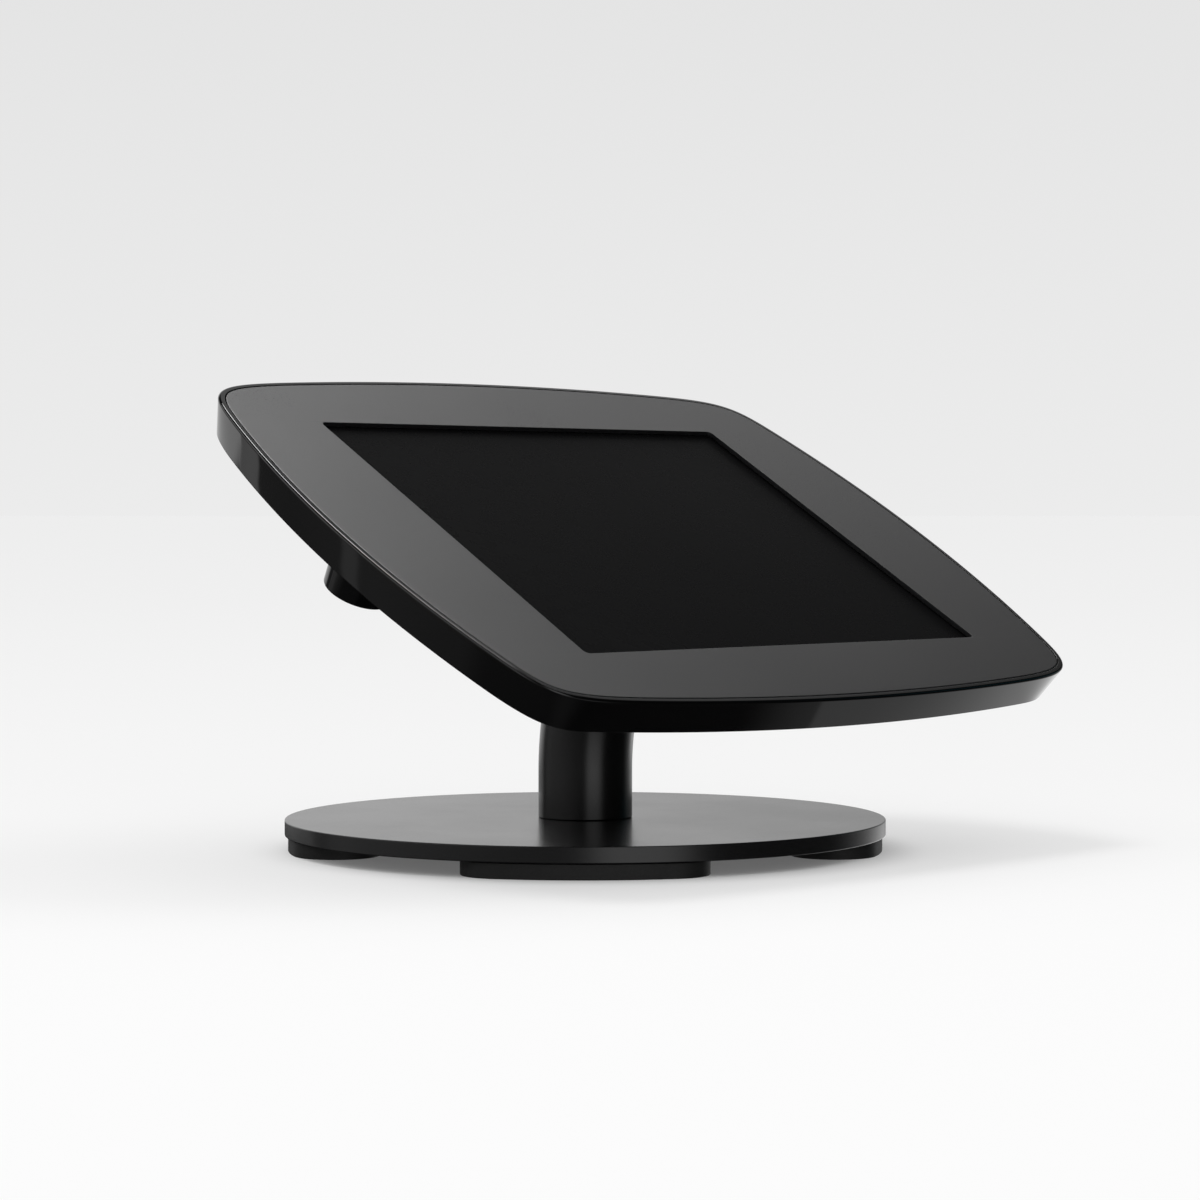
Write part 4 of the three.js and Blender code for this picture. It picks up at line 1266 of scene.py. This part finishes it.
def build_world():
    w = bpy.data.worlds.new("studio")
    bpy.context.scene.world = w
    w.use_nodes = True
    w.cycles.sampling_method = "NONE"
    t = w.node_tree
    t.nodes.clear()
    k = Nodes(t)
    out = t.nodes.new("ShaderNodeOutputWorld")
    co = t.nodes.new("ShaderNodeTexCoord").outputs["Generated"]
    sep = t.nodes.new("ShaderNodeSeparateXYZ")
    t.links.new(co, sep.inputs[0])
    x, y, z = sep.outputs
    deg = 180 / math.pi
    az = k.math("MULTIPLY", k.math("ARCTAN2", x, y), deg)  # 0 is +Y, 90 is +X
    back = k.math("MODULO", k.math("ADD", az, 360.0), 360.0)  # the same, 0 to 360
    el = k.math("MULTIPLY", k.math("ARCSINE", z), deg)

    def panel(level, across, up):
        return k.math("MULTIPLY", k.math("MULTIPLY", across, up), level)

    lights = [
        # bright wall behind the object, from the left rear round to the right rear
        panel(0.83, k.band(az, -5.0, -4.3, 34.0, 80.0), k.band(el, -5.2, -3.8, 22.0, 40.0)),
        panel(0.34, k.band(az, -9.4, -8.6, -4.6, -4.3), k.band(el, -10.0, -7.0, 22.0, 40.0)),
        # its glow on the right, reaching down to the floor's edge
        panel(1.12, k.band(az, 46.0, 58.0, 74.0, 100.0), k.band(el, -40.0, -17.0, -9.0, -2.0)),
        panel(0.28, k.band(az, 60.0, 66.0, 96.0, 118.0), k.band(el, -42.4, -42.0, 6.0, 22.0)),
        panel(0.12, k.band(az, 60.0, 66.0, 110.0, 130.0), k.band(el, -46.5, -42.4, -42.3, -42.0)),
        # glow below the softbox overhead
        panel(0.58, k.band(az, 10.0, 24.0, 60.0, 77.0), k.band(el, 12.0, 26.0, 36.0, 47.0)),
        panel(0.15, k.band(az, 40.0, 50.0, 55.5, 60.5), k.band(el, 30.0, 36.0, 44.0, 56.0)),
        panel(2.2, k.band(az, 72.0, 80.0, 96.0, 106.0), k.band(el, 51.0, 55.0, 62.0, 68.0)),
        # softbox behind the camera
        panel(1.0, k.band(back, 178.0, 196.0, 216.0, 228.0), k.band(el, -30.0, -15.0, 30.0, 50.0)),
        # side panels on the left, dim below and brighter above
        panel(0.20, k.band(back, 225.0, 300.0, 325.0, 345.0), k.band(el, -16.0, -4.0, 18.0, 30.0)),
        panel(0.13, k.band(back, 150.0, 240.0, 300.0, 350.0), k.band(el, -26.0, -10.0, 30.0, 50.0)),
        panel(1.00, k.band(back, 235.0, 262.0, 345.0, 354.0), k.band(el, 10.0, 20.0, 44.0, 52.0)),
        panel(0.045, k.band(back, 225.0, 250.0, 330.0, 345.0), k.band(el, -80.0, -62.0, -20.0, -8.0)),
        # floor seen dimly on the left, with one slim bright strip
        panel(0.065, k.band(back, 318.0, 322.0, 352.0, 356.0), k.band(el, -30.0, -26.0, 4.0, 8.0)),
        panel(0.15, k.band(back, 333.4, 334.2, 335.6, 336.6), k.band(el, -18.0, -16.5, 10.0, 14.0)),
        # pale floor in front, which the enclosure's back mirrors when it is seen from behind
        panel(0.35, k.band(back, 138.0, 152.0, 206.0, 222.0), k.band(el, -57.0, -50.0, -32.0, -18.0)),
        # faint pool straight below
        panel(0.09, k.band(back, -10.0, -5.0, 365.0, 370.0), k.band(el, -96.0, -95.0, -86.0, -64.0)),
    ]
    total = 0.018
    for s in lights:
        total = k.math("ADD", s, total)
    seen = t.nodes.new("ShaderNodeBackground")
    teal = panel(1.0, k.band(az, 88.0, 100.0, 122.0, 132.0), k.band(el, 0.0, 6.0, 24.0, 34.0))
    tint = t.nodes.new("ShaderNodeCombineColor")
    for i, share in enumerate((0.0, 0.05, 0.065)):
        t.links.new(k.math("ADD", total, k.math("MULTIPLY", teal, share)), tint.inputs[i])
    t.links.new(tint.outputs[0], seen.inputs["Color"])
    # what the camera sees behind the floor, and the even light that falls on everything
    even = t.nodes.new("ShaderNodeBackground")
    even.inputs["Color"].default_value = (1, 1, 1, 1)
    sky = k.step(el, 0.0, 9.0, 0.838, 0.777, smooth_edge=False)
    path = t.nodes.new("ShaderNodeLightPath")
    level = k.math(
        "ADD",
        k.math("MULTIPLY", sky, path.outputs["Is Camera Ray"]),
        k.math("MULTIPLY", k.math("SUBTRACT", 1.0, path.outputs["Is Camera Ray"]), 0.77),
    )
    t.links.new(level, even.inputs["Strength"])
    mix = t.nodes.new("ShaderNodeMixShader")
    t.links.new(path.outputs["Is Glossy Ray"], mix.inputs[0])
    t.links.new(even.outputs[0], mix.inputs[1])
    t.links.new(seen.outputs[0], mix.inputs[2])
    t.links.new(mix.outputs[0], out.inputs[0])


build_world()


def floor():
    bm = bmesh.new()
    radii = [0, 0.4, 0.8, 1.6, 3.2, 6.4, 14, 40, 120]
    n = 96
    rows = []
    for r in radii[1:]:
        rows.append([bm.verts.new((r * math.cos(2 * math.pi * i / n), r * math.sin(2 * math.pi * i / n), 0)) for i in range(n)])
    c = bm.verts.new((0, 0, 0))
    for i in range(n):
        bm.faces.new((rows[0][i], rows[0][(i + 1) % n], c))
    for a, b in zip(rows, rows[1:]):
        for i in range(n):
            bm.faces.new((a[i], b[i], b[(i + 1) % n], a[(i + 1) % n]))
    bmesh.ops.recalc_face_normals(bm, faces=bm.faces)
    me = bpy.data.meshes.new("studio_floor")
    bm.to_mesh(me)
    bm.free()
    o = bpy.data.objects.new("studio_floor", me)
    bpy.context.scene.collection.objects.link(o)
    m = bpy.data.materials.new("studio_floor")
    m.use_nodes = True
    t = m.node_tree
    t.nodes.clear()
    out = t.nodes.new("ShaderNodeOutputMaterial")
    d = t.nodes.new("ShaderNodeBsdfDiffuse")
    glow = t.nodes.new("ShaderNodeEmission")
    glow.inputs["Strength"].default_value = 1.0
    mix = t.nodes.new("ShaderNodeMixShader")
    t.links.new(d.outputs[0], mix.inputs[1])
    t.links.new(glow.outputs[0], mix.inputs[2])
    t.links.new(mix.outputs[0], out.inputs[0])
    k = Nodes(t)
    sep = t.nodes.new("ShaderNodeSeparateXYZ")
    t.links.new(t.nodes.new("ShaderNodeTexCoord").outputs["Object"], sep.inputs[0])
    # away from the base the floor has a little glow of its own, so that the shadows on it stay pale
    dy = k.math("SUBTRACT", sep.outputs[1], ARM_Y * MM)
    far = k.math("SQRT", k.math("ADD", k.math("MULTIPLY", sep.outputs[0], sep.outputs[0]), k.math("MULTIPLY", dy, dy)))
    t.links.new(k.step(far, 0.104, 0.134, 0.12, 0.5), mix.inputs[0])
    along = k.math("MULTIPLY", k.math("ADD", sep.outputs[0], sep.outputs[1]), 0.70711)
    ramp = t.nodes.new("ShaderNodeValToRGB")
    # painted shade: the floor's colour and its glow darken with distance behind the object, standing in for light
    # falling off; that distance is squeezed so that the far floor meets the backdrop's tone
    squeezed = k.math("DIVIDE", k.math("ADD", along, 0.8), k.math("ADD", k.math("ADD", along, 0.8), 2.0))
    t.links.new(squeezed, ramp.inputs[0])
    # painted falloff tones of the floor, from near the camera to far behind the object
    falloff_tones = [
        (-0.6, 0.955),
        (-0.26, 0.955),
        (-0.155, 0.945),
        (0.14, 0.925),
        (0.35, 0.905),
        (1.04, 0.885),
        (3.7, 0.853),
        (20.0, 0.838),
    ]
    e = ramp.color_ramp.elements
    while len(e) < len(falloff_tones):
        e.new(0.5)
    for el, (s, v) in zip(e, falloff_tones):
        el.position = (s + 0.8) / (s + 2.8)
        el.color = (v, v, v, 1)
    t.links.new(ramp.outputs[0], d.inputs[0])
    t.links.new(ramp.outputs[0], glow.inputs[0])
    me.materials.append(m)
    o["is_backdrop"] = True
    o.visible_glossy = False
    return o


floor()


def sun(name, azimuth, elevation, strength, angle):
    """A broad far light from that compass direction: 0 is +Y, 90 is +X."""
    light = bpy.data.lights.new(name, "SUN")
    light.energy, light.angle = strength, math.radians(angle)
    o = bpy.data.objects.new(name, light)
    bpy.context.scene.collection.objects.link(o)
    a, e = math.radians(azimuth), math.radians(elevation)
    to_light = Vector((math.sin(a) * math.cos(e), math.cos(a) * math.cos(e), math.sin(e)))
    o.rotation_mode = "QUATERNION"
    o.rotation_quaternion = to_light.to_track_quat("Z", "Y")
    o.visible_glossy = False
    return o


# the strong softbox overhead, seen in the glossy and satin parts
sun("softbox_overhead", 58, 58.5, 0.84, 18)
bpy.data.objects["softbox_overhead"].visible_glossy = True
bpy.data.objects["softbox_overhead"].visible_diffuse = False
sun("key_left", -50, 69, 0.70, 20)
sun("fill_right", 120, 32, 0.35, 30)

cam_data = bpy.data.cameras.new("camera")
cam = bpy.data.objects.new("camera", cam_data)
bpy.context.scene.collection.objects.link(cam)
cam_data.sensor_width, cam_data.lens = 36.0, 99.804
cam_data.clip_start, cam_data.clip_end = 0.02, 400
yaw, pitch = math.radians(45.247), math.radians(1.508)
forward = Vector((math.sin(yaw) * math.cos(pitch), math.cos(yaw) * math.cos(pitch), -math.sin(pitch)))
cam.location = (-0.90166, -0.89146, 0.12886)
cam.rotation_mode = "QUATERNION"
cam.rotation_quaternion = forward.to_track_quat("-Z", "Y")
bpy.context.scene.camera = cam
bpy.context.scene.view_settings.view_transform = "Standard"

lo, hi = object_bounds()
